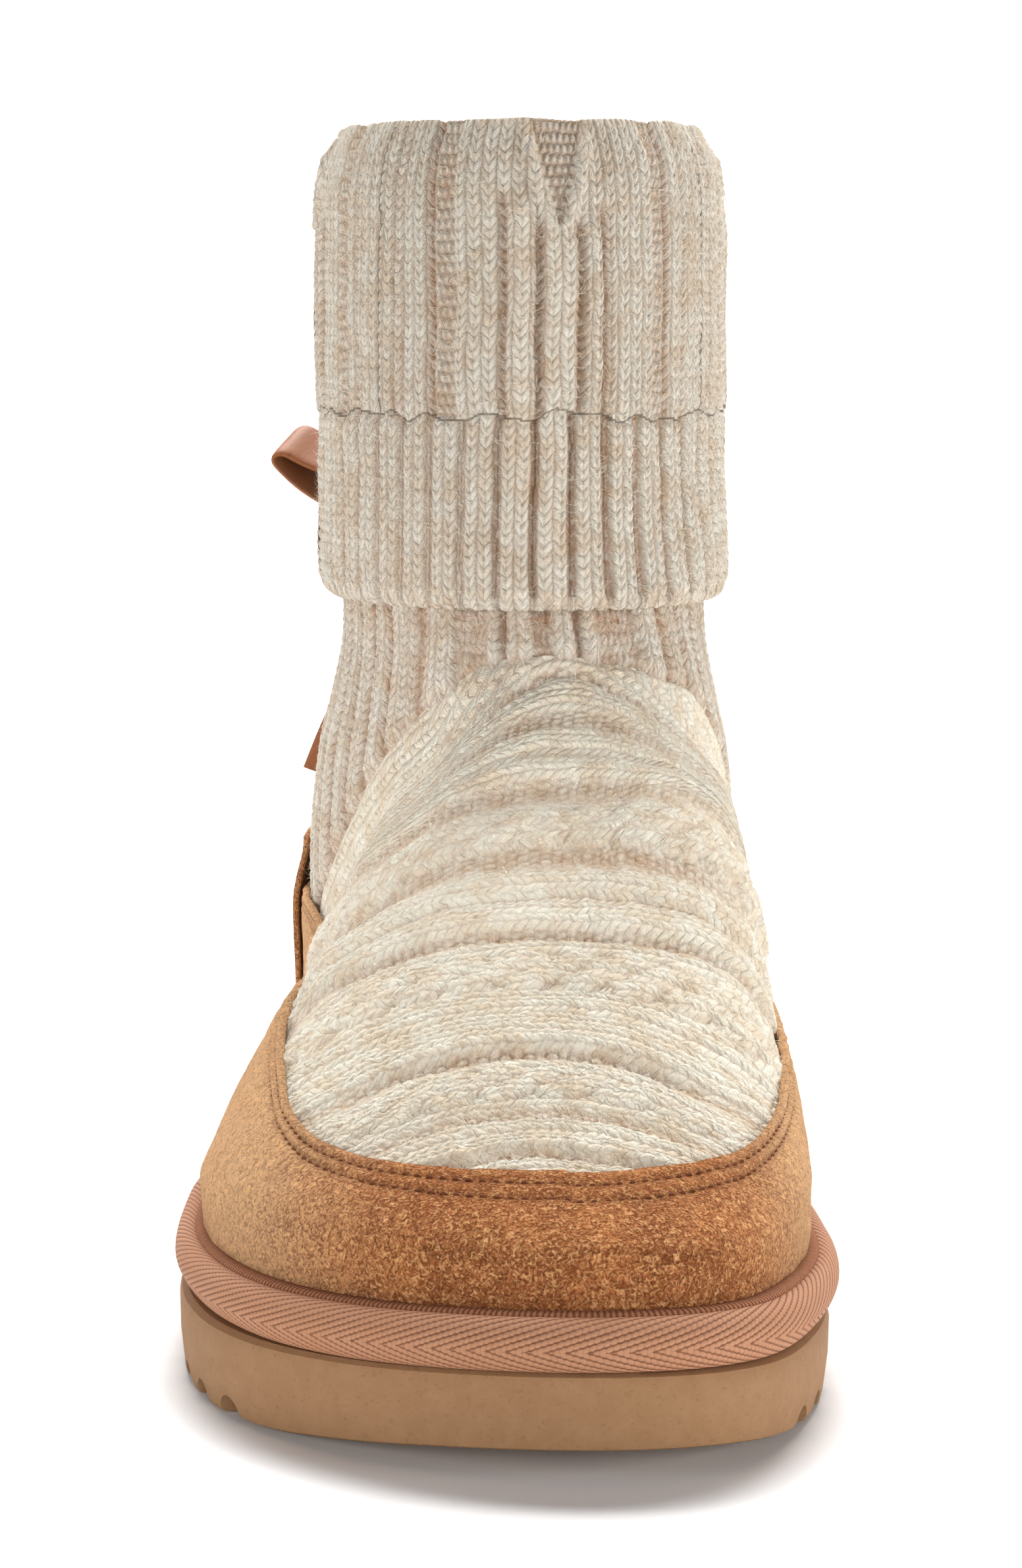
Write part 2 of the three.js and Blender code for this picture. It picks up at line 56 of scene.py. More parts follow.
# %% Camera
CAMERA_AT = (-21.8, -692.7, 170.0)
CAMERA_TILT = 83.0
CAMERA_TURN = -2.0
SENSOR = 36.0
LENS = 92.35
camera_data = bpy.data.cameras.new("front_camera")
camera_data.sensor_fit = "VERTICAL"
camera_data.sensor_height = SENSOR
camera_data.lens = LENS
camera = bpy.data.objects.new("front_camera", camera_data)
camera.location = [v * MM for v in CAMERA_AT]
camera.rotation_euler = (radians(CAMERA_TILT), 0, radians(CAMERA_TURN))
bpy.context.scene.collection.objects.link(camera)
bpy.context.scene.camera = camera
print("camera", LENS, "mm lens at", CAMERA_AT)


# %% Floor sheet: a plane whose back edge is pulled up and rounded
def select_edges(piece, test):
    """Selects the edges whose two ends both pass the test."""
    bpy.ops.object.mode_set(mode="EDIT")
    bpy.ops.mesh.select_mode(type="EDGE")
    bpy.ops.mesh.select_all(action="DESELECT")
    bpy.ops.object.mode_set(mode="OBJECT")
    places = [v.co for v in piece.data.vertices]
    for edge in piece.data.edges:
        edge.select = all(test(places[v]) for v in edge.vertices)
    bpy.ops.object.mode_set(mode="EDIT")


FLOOR_SIZE = 5.0
PAPER_TONE = 0.93
WALL_RISE = 3.0
WALL_ROUND = 1.2
bpy.ops.mesh.primitive_plane_add(size=FLOOR_SIZE)
floor = bpy.context.object
floor.name = "studio_floor"
select_edges(floor, lambda at: at.y > 0)
bpy.ops.mesh.extrude_region_move(TRANSFORM_OT_translate={"value": (0, 0, WALL_RISE)})
bpy.ops.object.mode_set(mode="OBJECT")
select_edges(floor, lambda at: at.y > 0 and at.z < MM)
bpy.ops.mesh.bevel(offset=WALL_ROUND, segments=16, affect="EDGES")
bpy.ops.mesh.select_all(action="SELECT")
bpy.ops.mesh.normals_make_consistent(inside=False)
bpy.ops.object.mode_set(mode="OBJECT")
bpy.ops.object.shade_smooth()
paper = bpy.data.materials.new("studio_paper")
paper.use_nodes = True
paper_shader = paper.node_tree.nodes["Principled BSDF"]
paper_shader.inputs["Base Color"].default_value = (PAPER_TONE, PAPER_TONE, PAPER_TONE, 1)
paper_shader.inputs["Roughness"].default_value = 0.9
floor.data.materials.append(paper)
print("floor sheet", len(floor.data.polygons), "faces")


# %% Lamps
def add_lamp(name, at, aim, size, power, spread=180):
    """A square soft box at a place in millimetres, turned to face a point; a grid may narrow its spread."""
    lamp = bpy.data.lights.new(name, "AREA")
    lamp.size = size
    lamp.energy = power
    lamp.spread = radians(spread)
    stand = bpy.data.objects.new(name, lamp)
    stand.location = [v * MM for v in at]
    look = np.array(aim, float) - np.array(at, float)
    stand.rotation_euler = Vector(look).to_track_quat("-Z", "Y").to_euler()
    bpy.context.scene.collection.objects.link(stand)


BOOT_MIDDLE = (0, 0, 90)
AIR_LIGHT = 0.09
add_lamp("top_box", (100, 750, 1350), BOOT_MIDDLE, 0.9, 30)
add_lamp("left_box", (-1100, -450, 210), BOOT_MIDDLE, 0.5, 5.6)
add_lamp("right_box", (1200, -500, 190), BOOT_MIDDLE, 0.5, 9.8)
add_lamp("front_box", (0, -1500, 320), BOOT_MIDDLE, 0.5, 5.6)
add_lamp("instep_box", (-350, -1250, 650), (-6, -28, 93), 0.08, 0.011, spread=6)
add_lamp("wall_wash", (0, 900, 1900), (0, 2500, 500), 1.5, 70)
world = bpy.data.worlds.new("studio_air")
world.use_nodes = True
air = world.node_tree.nodes["Background"]
air.inputs["Color"].default_value = (1, 1, 1, 1)
air.inputs["Strength"].default_value = AIR_LIGHT
bpy.context.scene.world = world
bpy.context.scene.view_settings.view_transform = "Standard"

# %% [markdown]
# ## The last
# A shoemaker builds on a last, a form of the foot. Short tables of sections describe it here, and one
# function tells how far any point is outside it. The knit, the suede and the tape are all laid on this
# one form, so their edges follow each other as they do on the real boot. Copies of the solids could be
# smoothed instead, but their facets would stay, and a formula gives any point at any fineness.

# %% Tables of sections, in millimetres: toe towards -Y, medial side towards +X
TOE_TIP, HEEL_BACK = -134.5, 135.0
TOE_ROUND, HEEL_ROUND, HEEL_POWER = 66.0, 46.0, 2.3
UPPER_INSET, SOLE_SHIFT = 5.2, -0.8
SHAFT_X, SHAFT_Y = 6.5, 67.0
WALL, BLEND, FIELD_SCALE = 3.0, 15.0, 42.0
WIDEST_Z, TUCK_DEPTH = 28.0, 46.0
SIDE_POWER, CREST_POWER, SHAFT_POWER = 2.15, 2.0, 2.05
HEM_Z, RIM_Z = 114.0, 200.0

# y, centre line, half width of the outline from above
PLAN = np.array([
    (-137, 14, 50.5), (-120, 7.2, 50.5), (-102, 2.4, 50.8), (-85, 0.5, 51), (-60, -1.2, 51),
    (-35, -1.4, 49.8), (-10, 0.8, 46.8), (25, 4.4, 42.5), (60, 6.2, 40.8), (95, 6.5, 40),
    (137, 6.5, 40)])
# y, underside of the sole, its top edge, crest of the foot, lean of the crest to the medial side
PROFILE = np.array([
    (-137, 5.4, 16.8, 27, 0), (-128, 4.1, 15.7, 32, 0), (-118, 2.4, 14.7, 36.6, 0),
    (-104, 0.7, 14, 41, 0.5), (-84, 0, 13.6, 49, 2), (-60, 0, 13.7, 60.5, 5), (-35, 0, 14.2, 75, 8),
    (-10, 0.7, 15.2, 91, 10), (15, 1.6, 16.8, 106, 10), (40, 0.8, 18.2, 122, 8), (60, 0, 19.2, 136, 3),
    (100, 0, 20.2, 150, 0), (137, 0, 20.6, 150, 0)])
# z, front and back of the shaft, its half width, back of the heel
SHAFT = np.array([
    (12, 34, 122, 34, 127.8), (40, 32, 121, 37, 130.3), (65, 28, 118.5, 38.6, 125.5),
    (85, 23, 117, 36.8, 117), (95, 21, 116.7, 34.2, 112), (106, 19, 116.5, 32.4, 107),
    (125, 17, 116.5, 33.3, 100), (205, 15, 117.5, 34.1, 90)])
CENTRE, HALF = 1, 2
UNDER, TOP, CREST, LEAN = 1, 2, 3, 4
FRONT, BACK, SHAFT_HALF, HEEL = 1, 2, 3, 4
print("sections:", len(PLAN), len(PROFILE), len(SHAFT))


# %% Reading a table smoothly
def read(table, column, at):
    """A cubic through the rows of a table that never swings past them."""
    x = table[:, 0]
    y = table[:, column]
    steps = np.diff(y) / np.diff(x)
    before = np.concatenate([steps[:1], steps])
    after = np.concatenate([steps, steps[-1:]])
    agree = before * after > 0
    slopes = np.where(agree, 2 * before * after / np.where(agree, before + after, 1), 0)
    at = np.clip(at, x[0], x[-1])
    i = np.clip(np.searchsorted(x, at, side="right") - 1, 0, len(steps) - 1)
    span = x[i + 1] - x[i]
    t = (at - x[i]) / span
    s = 1 - t
    ends = s * s * (1 + 2 * t) * y[i] + t * t * (1 + 2 * s) * y[i + 1]
    return ends + s * s * t * span * slopes[i] - t * t * s * span * slopes[i + 1]


def ease(low, high, value):
    """0 at low, 1 at high, with soft ends."""
    share = np.clip((value - low) / (high - low), 0, 1)
    return share * share * (3 - 2 * share)


print("crest over the ball:", round(float(read(PROFILE, CREST, -60.0)), 1))


# %% How far a point is outside the last
def plan_half(y, inset, heel_back=None):
    """Half width of the outline from above, closed by its rounded ends."""
    heel_back = HEEL_BACK - inset if heel_back is None else heel_back
    from_toe = np.clip((y - TOE_TIP - inset) / TOE_ROUND, 0, 1)
    from_heel = np.clip((heel_back - y) / HEEL_ROUND, 0, 1)
    toe = np.sqrt(1 - (1 - from_toe) ** 2)
    heel = (1 - (1 - from_heel) ** HEEL_POWER) ** (1 / HEEL_POWER)
    return np.maximum(read(PLAN, HALF, y) - inset, 0) * toe * heel


def last_field(p):
    """Negative inside the knit's outer face, positive outside, in about millimetres."""
    x, y, z = p[..., 0], p[..., 1], p[..., 2]
    above = z > WIDEST_Z
    crest_rise = (z - WIDEST_Z) / np.maximum(read(PROFILE, CREST, y) - WIDEST_Z, 0.5)
    rise = np.where(above, crest_rise, (WIDEST_Z - z) / TUCK_DEPTH)
    lean = np.where(above, read(PROFILE, LEAN, y) * (1 - (1 - np.minimum(rise, 1)) ** 2), 0)
    heel_back = read(SHAFT, HEEL, z)
    half = np.maximum(plan_half(y, UPPER_INSET, heel_back), 0.5)
    across = np.abs(x - read(PLAN, CENTRE, y) - lean) / half
    foot = ((across ** SIDE_POWER + rise ** CREST_POWER) ** (1 / SIDE_POWER) - 1) * FIELD_SCALE
    past = np.maximum(y - heel_back, TOE_TIP + UPPER_INSET - y)
    foot = np.where(past > 0, np.maximum(foot, 5 * past), foot)
    front = read(SHAFT, FRONT, z)
    back = read(SHAFT, BACK, z)
    sideways = np.abs(x - SHAFT_X) / read(SHAFT, SHAFT_HALF, z)
    lengthways = np.abs(2 * y - front - back) / (back - front)
    tube = ((sideways ** SHAFT_POWER + lengthways ** SHAFT_POWER) ** (1 / SHAFT_POWER) - 1) * FIELD_SCALE
    near = np.maximum(BLEND - np.abs(foot - tube), 0) / BLEND
    return np.minimum(foot, tube) - near * near * BLEND / 4


def plan_field(inset, shift=0.0):
    """A field like the last's, for the plain outline from above."""
    def field(p):
        y = p[..., 1]
        outside = (y < TOE_TIP + inset) | (y > HEEL_BACK - inset)
        return np.where(outside, 1, np.abs(p[..., 0] - read(PLAN, CENTRE, y) - shift) - plan_half(y, inset))
    return field


print("field at the cuff's middle:", round(float(last_field(np.array([SHAFT_X, SHAFT_Y, 150.0]))), 1))


# %% Rays that find the surface, and its normals
RAY_REACH = 260.0
RAY_HALVINGS = 34
NORMAL_STEP = 0.4


def leave(start, way, field=last_field):
    """The point where each ray from inside leaves the field."""
    near = np.zeros(start.shape[:-1])
    far = np.full(start.shape[:-1], RAY_REACH)
    for _ in range(RAY_HALVINGS):
        middle = (near + far) / 2
        inside = field(start + way * middle[..., None]) < 0
        near = np.where(inside, middle, near)
        far = np.where(inside, far, middle)
    return start + way * near[..., None]


def around(angle, z, field=last_field):
    """Level rays from the shaft's axis: angle 0 is the toe, growing towards the medial side."""
    angle, z = np.broadcast_arrays(np.asarray(angle, float), np.asarray(z, float))
    start = np.stack([np.full(angle.shape, SHAFT_X), np.full(angle.shape, SHAFT_Y), z], -1)
    way = np.stack([np.sin(angle), -np.cos(angle), np.zeros(angle.shape)], -1)
    return leave(start, way, field)


def unit(v):
    """Vectors of length one."""
    return v / np.maximum(np.linalg.norm(v, axis=-1, keepdims=True), 1e-9)


def level_normal(p):
    """Outward normal of the shaft at a point, without its upward part."""
    steps = NORMAL_STEP * np.eye(3)[:2]
    sides = [last_field(p + step) - last_field(p - step) for step in steps]
    return unit(np.stack(sides + [np.zeros(p.shape[:-1])], -1))


print("toe of the upper:", np.round(around(0.0, WIDEST_Z), 1))


# %% Helpers for fine grids
def refine(coarse, count, axis):
    """More points along one axis of a grid, on a smooth curve through the coarse ones."""
    coarse = np.moveaxis(coarse, axis, 0)
    last = len(coarse) - 1
    at = np.linspace(0, last, count)
    i = np.minimum(at.astype(int), last - 1)
    t = (at - i).reshape((-1,) + (1,) * (coarse.ndim - 1))
    a, b = coarse[np.maximum(i - 1, 0)], coarse[i]
    c, d = coarse[i + 1], coarse[np.minimum(i + 2, last)]
    fine = b + 0.5 * t * (c - a + t * (2 * a - 5 * b + 4 * c - d + t * (3 * (b - c) + d - a)))
    return np.moveaxis(fine, 0, axis)


def grid_normals(points):
    """Normals of a grid of points[row, column], to the side from which columns run left to right."""
    return unit(np.cross(np.gradient(points, axis=1), np.gradient(points, axis=0)))


def ring_normals(points, level=False):
    """As grid_normals, for a grid that goes once round and meets itself."""
    padded = np.concatenate([points[:, -2:-1], points, points[:, 1:2]], 1)
    normal = grid_normals(padded)[:, 1:-1]
    return unit(normal * (1, 1, 0)) if level else normal


def runs(points, axis):
    """Length along a grid's rows or columns, starting from zero."""
    steps = np.linalg.norm(np.diff(points, axis=axis), axis=-1)
    return np.concatenate([np.zeros_like(steps.take([0], axis)), np.cumsum(steps, axis)], axis)


def chance(i, j, seed):
    """A fixed number from 0 to 1 for each pair of whole numbers."""
    mixed = np.sin(i * 127.1 + j * 311.7 + seed * 74.7) * 43758.5453
    return mixed - np.floor(mixed)


def waver(u, v, seed):
    """Soft noise from -1 to 1 with features one unit across, the same on every run."""
    i, j = np.floor(u), np.floor(v)
    a, b = ease(0, 1, u - i), ease(0, 1, v - j)
    low = chance(i, j, seed) * (1 - a) + chance(i + 1, j, seed) * a
    high = chance(i, j + 1, seed) * (1 - a) + chance(i + 1, j + 1, seed) * a
    return 2 * (low * (1 - b) + high * b) - 1


print("noise sample:", round(float(waver(np.array(0.3), np.array(1.7), 1)), 3))


# %% Laying a grid on points
def lay_grid(name, points, uv=None, wrap=False, **values):
    """Adds a plane grid, moves its corners to points[row, column], and stores a UV map and point values."""
    rows, columns = points.shape[:2]
    bpy.ops.object.select_all(action="DESELECT")
    bpy.ops.mesh.primitive_grid_add(x_subdivisions=columns - 1, y_subdivisions=rows - 1, size=1)
    piece = bpy.context.object
    piece.name = name
    mesh = piece.data
    mesh.name = name
    mesh.vertices.foreach_set("co", (points * MM).ravel())
    for key, value in values.items():
        layer = mesh.attributes.new(key, "FLOAT", "POINT")
        layer.data.foreach_set("value", np.ascontiguousarray(np.broadcast_to(value, (rows, columns))).ravel())
    if uv is not None:
        corners = np.zeros(len(mesh.loops), int)
        mesh.loops.foreach_get("vertex_index", corners)
        flat = np.stack(np.broadcast_arrays(*uv), -1).reshape(-1, 2)
        mesh.uv_layers[0].data.foreach_set("uv", flat[corners].ravel())
    mesh.update()
    if wrap:
        bpy.ops.object.mode_set(mode="EDIT")
        bpy.ops.mesh.select_all(action="SELECT")
        bpy.ops.mesh.remove_doubles(threshold=1e-6)
        bpy.ops.object.mode_set(mode="OBJECT")
    bpy.ops.object.shade_smooth()
    return piece


def wear(piece, finish, slot, *nodes):
    """Gives a piece its finish and its body, and hides the solids that it stands for; slot is not used."""
    piece.data.materials.clear()
    piece.data.materials.append(finish)
    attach(piece, "root")
    if nodes:
        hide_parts(*nodes)
    faces = sum(len(p.vertices) - 2 for p in piece.data.polygons)
    print(piece.name, faces, "triangles")
    return piece


def apply_modifier(piece, kind, **settings):
    """Adds one modifier, sets it and applies it."""
    bpy.context.view_layer.objects.active = piece
    modifier = piece.modifiers.new(kind.lower(), kind)
    for key, value in settings.items():
        setattr(modifier, key, value)
    bpy.ops.object.modifier_apply(modifier=modifier.name)


def close_ends(crease):
    """Fills the open ends of the active piece, turns its faces outwards and smooths it up to an angle."""
    bpy.ops.object.mode_set(mode="EDIT")
    bpy.ops.mesh.select_mode(type="EDGE")
    bpy.ops.mesh.select_all(action="DESELECT")
    bpy.ops.mesh.select_non_manifold()
    bpy.ops.mesh.fill_holes(sides=0)
    bpy.ops.mesh.select_all(action="SELECT")
    bpy.ops.mesh.normals_make_consistent(inside=False)
    bpy.ops.object.mode_set(mode="OBJECT")
    bpy.ops.object.shade_smooth_by_angle(angle=radians(crease))


print("meshes before the first piece:", len(bpy.data.meshes))

# %% [markdown]
# ## Finishes
# Wool, suede, foam and leather all have a fine, uneven grain, so one shader group gives tone, flecks and
# height, and each finish uses it at its own size. A second group draws knit stitches. Each finish could
# have nodes of its own, but shared groups keep them alike and short. Patterns that follow a piece read
# its UV map, which counts stitches on the knit and millimetres on the tape.

# %% Nodes in a line
def shade(red, green, blue):
    """A colour as seen on a screen, 0 to 255, made linear."""
    share = np.array([red, green, blue]) / 255
    linear = np.where(share <= 0.04045, share / 12.92, ((share + 0.055) / 1.055) ** 2.4)
    return (*linear.tolist(), 1.0)


def add_node(tree, kind, inputs=None, **settings):
    """A shader node with its settings, whose inputs are values or sockets to link."""
    node = tree.nodes.new(kind)
    for key, value in settings.items():
        setattr(node, key, value)
    for key, value in (inputs or {}).items():
        if isinstance(value, bpy.types.NodeSocket):
            tree.links.new(value, node.inputs[key])
        else:
            node.inputs[key].default_value = value
    return node


def math(tree, operation, a, b=0.0, c=0.0):
    """The result of one Math node."""
    return add_node(tree, "ShaderNodeMath", {0: a, 1: b, 2: c}, operation=operation).outputs[0]


def mix(tree, share, a, b):
    """Goes from colour a to colour b."""
    node = add_node(tree, "ShaderNodeMix", {0: share, 6: a, 7: b}, data_type="RGBA")
    return node.outputs[2]


def span(tree, value, low, high, to_low=0.0, to_high=1.0):
    """Stretches a range of values to another, cut off at its ends."""
    ranges = {"Value": value, "From Min": low, "From Max": high, "To Min": to_low, "To Max": to_high}
    return add_node(tree, "ShaderNodeMapRange", ranges).outputs[0]


def join_xy(tree, x, y):
    """A vector from two values."""
    return add_node(tree, "ShaderNodeCombineXYZ", {"X": x, "Y": y}).outputs[0]


def noise(tree, vector, scale, detail=2.0, distortion=0.0):
    """Soft noise, about 0 to 1."""
    inputs = {"Vector": vector, "Scale": scale, "Detail": detail, "Distortion": distortion}
    return add_node(tree, "ShaderNodeTexNoise", inputs).outputs["Fac"]


print("cream in linear light:", np.round(shade(230, 222, 208), 3))


# %% The shared fibre group
def make_fibre_group():
    """Broad patches, small flecks and the height of a curly nap, all from one fineness."""
    tree = bpy.data.node_groups.new("fibres", "ShaderNodeTree")
    tree.interface.new_socket("Vector", in_out="INPUT", socket_type="NodeSocketVector")
    tree.interface.new_socket("Fineness", in_out="INPUT", socket_type="NodeSocketFloat")
    for name in ("Mottle", "Fleck", "Height"):
        tree.interface.new_socket(name, in_out="OUTPUT", socket_type="NodeSocketFloat")
    given = add_node(tree, "NodeGroupInput")
    vector, fineness = given.outputs["Vector"], given.outputs["Fineness"]
    mottle = noise(tree, vector, math(tree, "MULTIPLY", fineness, 0.12), 3.0)
    fleck = noise(tree, vector, math(tree, "MULTIPLY", fineness, 0.55), 2.0, 0.6)
    curl = noise(tree, vector, fineness, 3.0, 1.6)
    fuzz = noise(tree, vector, math(tree, "MULTIPLY", fineness, 2.3), 2.0, 0.4)
    height = math(tree, "MULTIPLY_ADD", fuzz, 0.4, curl)
    add_node(tree, "NodeGroupOutput", {"Mottle": mottle, "Fleck": fleck, "Height": height})
    return tree


FIBRES = make_fibre_group()


def start_finish(name, roughness, specular):
    """An empty material with its Principled shader, and the piece's own coordinates."""
    finish = bpy.data.materials.new(name)
    finish.use_nodes = True
    tree = finish.node_tree
    shader = tree.nodes["Principled BSDF"]
    shader.inputs["Roughness"].default_value = roughness
    shader.inputs["Specular IOR Level"].default_value = specular
    return finish, tree, shader, add_node(tree, "ShaderNodeTexCoord")


def place_fibres(tree, vector, fineness):
    """Puts the fibre group in a material and gives its outputs."""
    group = add_node(tree, "ShaderNodeGroup", node_tree=FIBRES)
    tree.links.new(vector, group.inputs["Vector"])
    group.inputs["Fineness"].default_value = fineness
    return group.outputs


def add_bump(tree, shader, height, depth, strength=1.0):
    """Feeds a height, worth depth metres at 1, to the shader's normal."""
    bump = add_node(tree, "ShaderNodeBump", {"Height": height, "Distance": depth, "Strength": strength})
    tree.links.new(bump.outputs["Normal"], shader.inputs["Normal"])


def value_of(tree, name):
    """A value stored on the piece's points."""
    return add_node(tree, "ShaderNodeAttribute", attribute_name=name).outputs["Fac"]


print("fibre group nodes:", len(FIBRES.nodes))


# %% The shared stitch group: nested V shapes, or purl bumps, from a UV map that counts stitches
def make_stitch_group():
    """Height of the stitches, a tone for each leg of a stitch, and strands along the yarn."""
    tree = bpy.data.node_groups.new("stitches", "ShaderNodeTree")
    tree.interface.new_socket("Vector", in_out="INPUT", socket_type="NodeSocketVector")
    tree.interface.new_socket("Purl", in_out="INPUT", socket_type="NodeSocketFloat")
    for name in ("Height", "Tone", "Strand"):
        tree.interface.new_socket(name, in_out="OUTPUT", socket_type="NodeSocketFloat")
    given = add_node(tree, "NodeGroupInput")
    parts = add_node(tree, "ShaderNodeSeparateXYZ", {"Vector": given.outputs["Vector"]})
    drift = math(tree, "SUBTRACT", noise(tree, given.outputs["Vector"], 0.9), 0.5)
    column = math(tree, "MULTIPLY_ADD", drift, 0.35, parts.outputs["X"])
    row = math(tree, "MULTIPLY_ADD", drift, 0.9, parts.outputs["Y"])
    side = math(tree, "MULTIPLY_ADD", math(tree, "FRACT", column), 2.0, -1.0)
    across = math(tree, "ABSOLUTE", side)
    phase = math(tree, "MULTIPLY_ADD", across, -0.85, row)
    leg = math(tree, "SINE", math(tree, "MULTIPLY_ADD", across, 2.64, 0.38))
    bead = math(tree, "ABSOLUTE", math(tree, "SINE", math(tree, "MULTIPLY", phase, np.pi)))
    face = math(tree, "MULTIPLY", leg, math(tree, "MULTIPLY_ADD", math(tree, "SQRT", bead), 0.75, 0.25))
    brick = math(tree, "MULTIPLY_ADD", math(tree, "FLOOR", row), 0.5, math(tree, "MULTIPLY", column, 2.0))
    bump = math(tree, "COSINE", math(tree, "MULTIPLY", brick, 2 * np.pi))
    hill = math(tree, "SINE", math(tree, "MULTIPLY", math(tree, "FRACT", row), np.pi))
    back = math(tree, "MULTIPLY", hill, math(tree, "MULTIPLY_ADD", bump, 0.45, 0.55))
    purl = given.outputs["Purl"]
    plain = math(tree, "MULTIPLY", face, math(tree, "SUBTRACT", 1.0, purl))
    height = math(tree, "MULTIPLY_ADD", back, purl, plain)
    half_wale = math(tree, "FLOOR", math(tree, "MULTIPLY", column, 2.0))
    one_leg = join_xy(tree, half_wale, math(tree, "FLOOR", phase))
    tone = add_node(tree, "ShaderNodeTexWhiteNoise", {"Vector": one_leg})
    own_wale = math(tree, "MULTIPLY_ADD", math(tree, "FLOOR", column), 5.3, across)
    strand = noise(tree, join_xy(tree, own_wale, math(tree, "MULTIPLY", phase, 5.0)), 1.4, 3.0, 0.3)
    add_node(tree, "NodeGroupOutput", {"Height": height, "Tone": tone.outputs["Value"], "Strand": strand})
    return tree


STITCHES = make_stitch_group()
print("stitch group nodes:", len(STITCHES.nodes))


# %% Melange wool: cream yarn with beige and brown fibres, with painted shade down between the stitches
def make_wool(name, cream, beige, brown, gap_shade_share, depth):
    """Stitches in three shades of yarn, with painted shade in their gaps and where the stored value says."""
    finish, tree, shader, where = start_finish(name, 0.95, 0.1)
    fibres = place_fibres(tree, where.outputs["Object"], 1500.0)
    stitch = add_node(tree, "ShaderNodeGroup", node_tree=STITCHES)
    tree.links.new(where.outputs["UV"], stitch.inputs["Vector"])
    tree.links.new(value_of(tree, "purl"), stitch.inputs["Purl"])
    warm = span(tree, fibres["Mottle"], 0.38, 0.66)
    melange = math(tree, "MULTIPLY_ADD", stitch.outputs["Tone"], 0.45, math(tree, "MULTIPLY", warm, 0.6))
    coat = mix(tree, span(tree, melange, 0.2, 0.95, 0, 0.8), cream, beige)
    hairs = span(tree, stitch.outputs["Strand"], 0.52, 0.72, 0, 0.45)
    coat = mix(tree, hairs, coat, beige)
    fleck = span(tree, fibres["Fleck"], 0.6, 0.72, 0, 0.5)
    # painted shade: brown where a stitch lies low, between its legs and rows
    gap = span(tree, stitch.outputs["Height"], 0.55, 0.12, 0, gap_shade_share)
    # the brown flecks of the melange are real colour, the gap term is painted shade
    coat = mix(tree, math(tree, "MULTIPLY_ADD", math(tree, "MULTIPLY", fleck, warm), 0.6, gap), coat, brown)
    # painted shade stored on the points, in grooves and purl, broken up by the flecks
    deep = value_of(tree, "recess")
    broken = math(tree, "MULTIPLY", deep, span(tree, fibres["Fleck"], 0.35, 0.62, 0.45, 1.0))
    coat = mix(tree, math(tree, "MULTIPLY", broken, 0.85), coat, brown)
    tree.links.new(coat, shader.inputs["Base Color"])
    shader.inputs["Sheen Weight"].default_value = 0.12
    shader.inputs["Sheen Tint"].default_value = shade(246, 232, 208)
    shader.inputs["Sheen Roughness"].default_value = 0.5
    height = math(tree, "MULTIPLY_ADD", stitch.outputs["Strand"], 0.5, stitch.outputs["Height"])
    add_bump(tree, shader, math(tree, "MULTIPLY_ADD", fibres["Height"], 0.6, height), depth)
    return finish


CUFF_WOOL = make_wool(
    "cuff_wool", shade(234, 227, 213), shade(214, 192, 165), shade(168, 122, 86), 0.36, 0.0007)
FOOT_WOOL = make_wool(
    "foot_wool", shade(242, 236, 220), shade(225, 205, 176), shade(176, 132, 95), 0.28, 0.0006)
LINING_WOOL = make_wool(
    "lining_wool", shade(226, 217, 202), shade(208, 192, 170), shade(170, 140, 110), 0.4, 0.0006)
print("wool finishes:", CUFF_WOOL.name, FOOT_WOOL.name, LINING_WOOL.name)


# %% Suede: short curly nap, darker in its depth, with light tips
def make_suede():
    """Dark at the nap's roots, light at its tips; stored values paint light on its sides and shade in its
    grooves.
    """
    finish, tree, shader, where = start_finish("chestnut_suede", 0.95, 0.1)
    fibres = place_fibres(tree, where.outputs["Object"], 1100.0)
    patch = noise(tree, where.outputs["Object"], 34.0, 3.0, 0.8)
    nap = math(tree, "MULTIPLY_ADD", patch, 0.7, fibres["Mottle"])
    coat = mix(tree, span(tree, nap, 0.62, 1.05), shade(160, 84, 38), shade(196, 116, 60))
    # painted light: paler colour on the sides, where the nap catches the light
    coat = mix(tree, math(tree, "MULTIPLY", value_of(tree, "paler"), 0.95), coat, shade(232, 186, 140))
    calm = math(tree, "MULTIPLY_ADD", value_of(tree, "paler"), -0.45, 1.0)
    depth = math(tree, "MULTIPLY", span(tree, fibres["Height"], 0.72, 0.56, 0, 0.85), calm)
    coat = mix(tree, depth, coat, shade(118, 58, 22))
    coat = mix(tree, span(tree, fibres["Height"], 0.73, 0.86, 0, 0.9), coat, shade(238, 180, 122))
    # painted shade from the stored value, along sewing lines and under the rolled edge
    coat = mix(tree, math(tree, "MULTIPLY", value_of(tree, "recess"), 0.75), coat, shade(92, 48, 22))
    tree.links.new(coat, shader.inputs["Base Color"])
    shader.inputs["Sheen Weight"].default_value = 0.15
    shader.inputs["Sheen Tint"].default_value = shade(235, 190, 140)
    add_bump(tree, shader, fibres["Height"], 0.0014)
    return finish


SUEDE = make_suede()
print("suede nodes:", len(SUEDE.node_tree.nodes))

# %% Woven tape: long slanted cords of short threads, folded into a V below the middle
TAPE_ROW = 1.0
TAPE_SLANT = 0.4
TAPE_FOLD = 6.4
TAPE_THREAD = 0.8


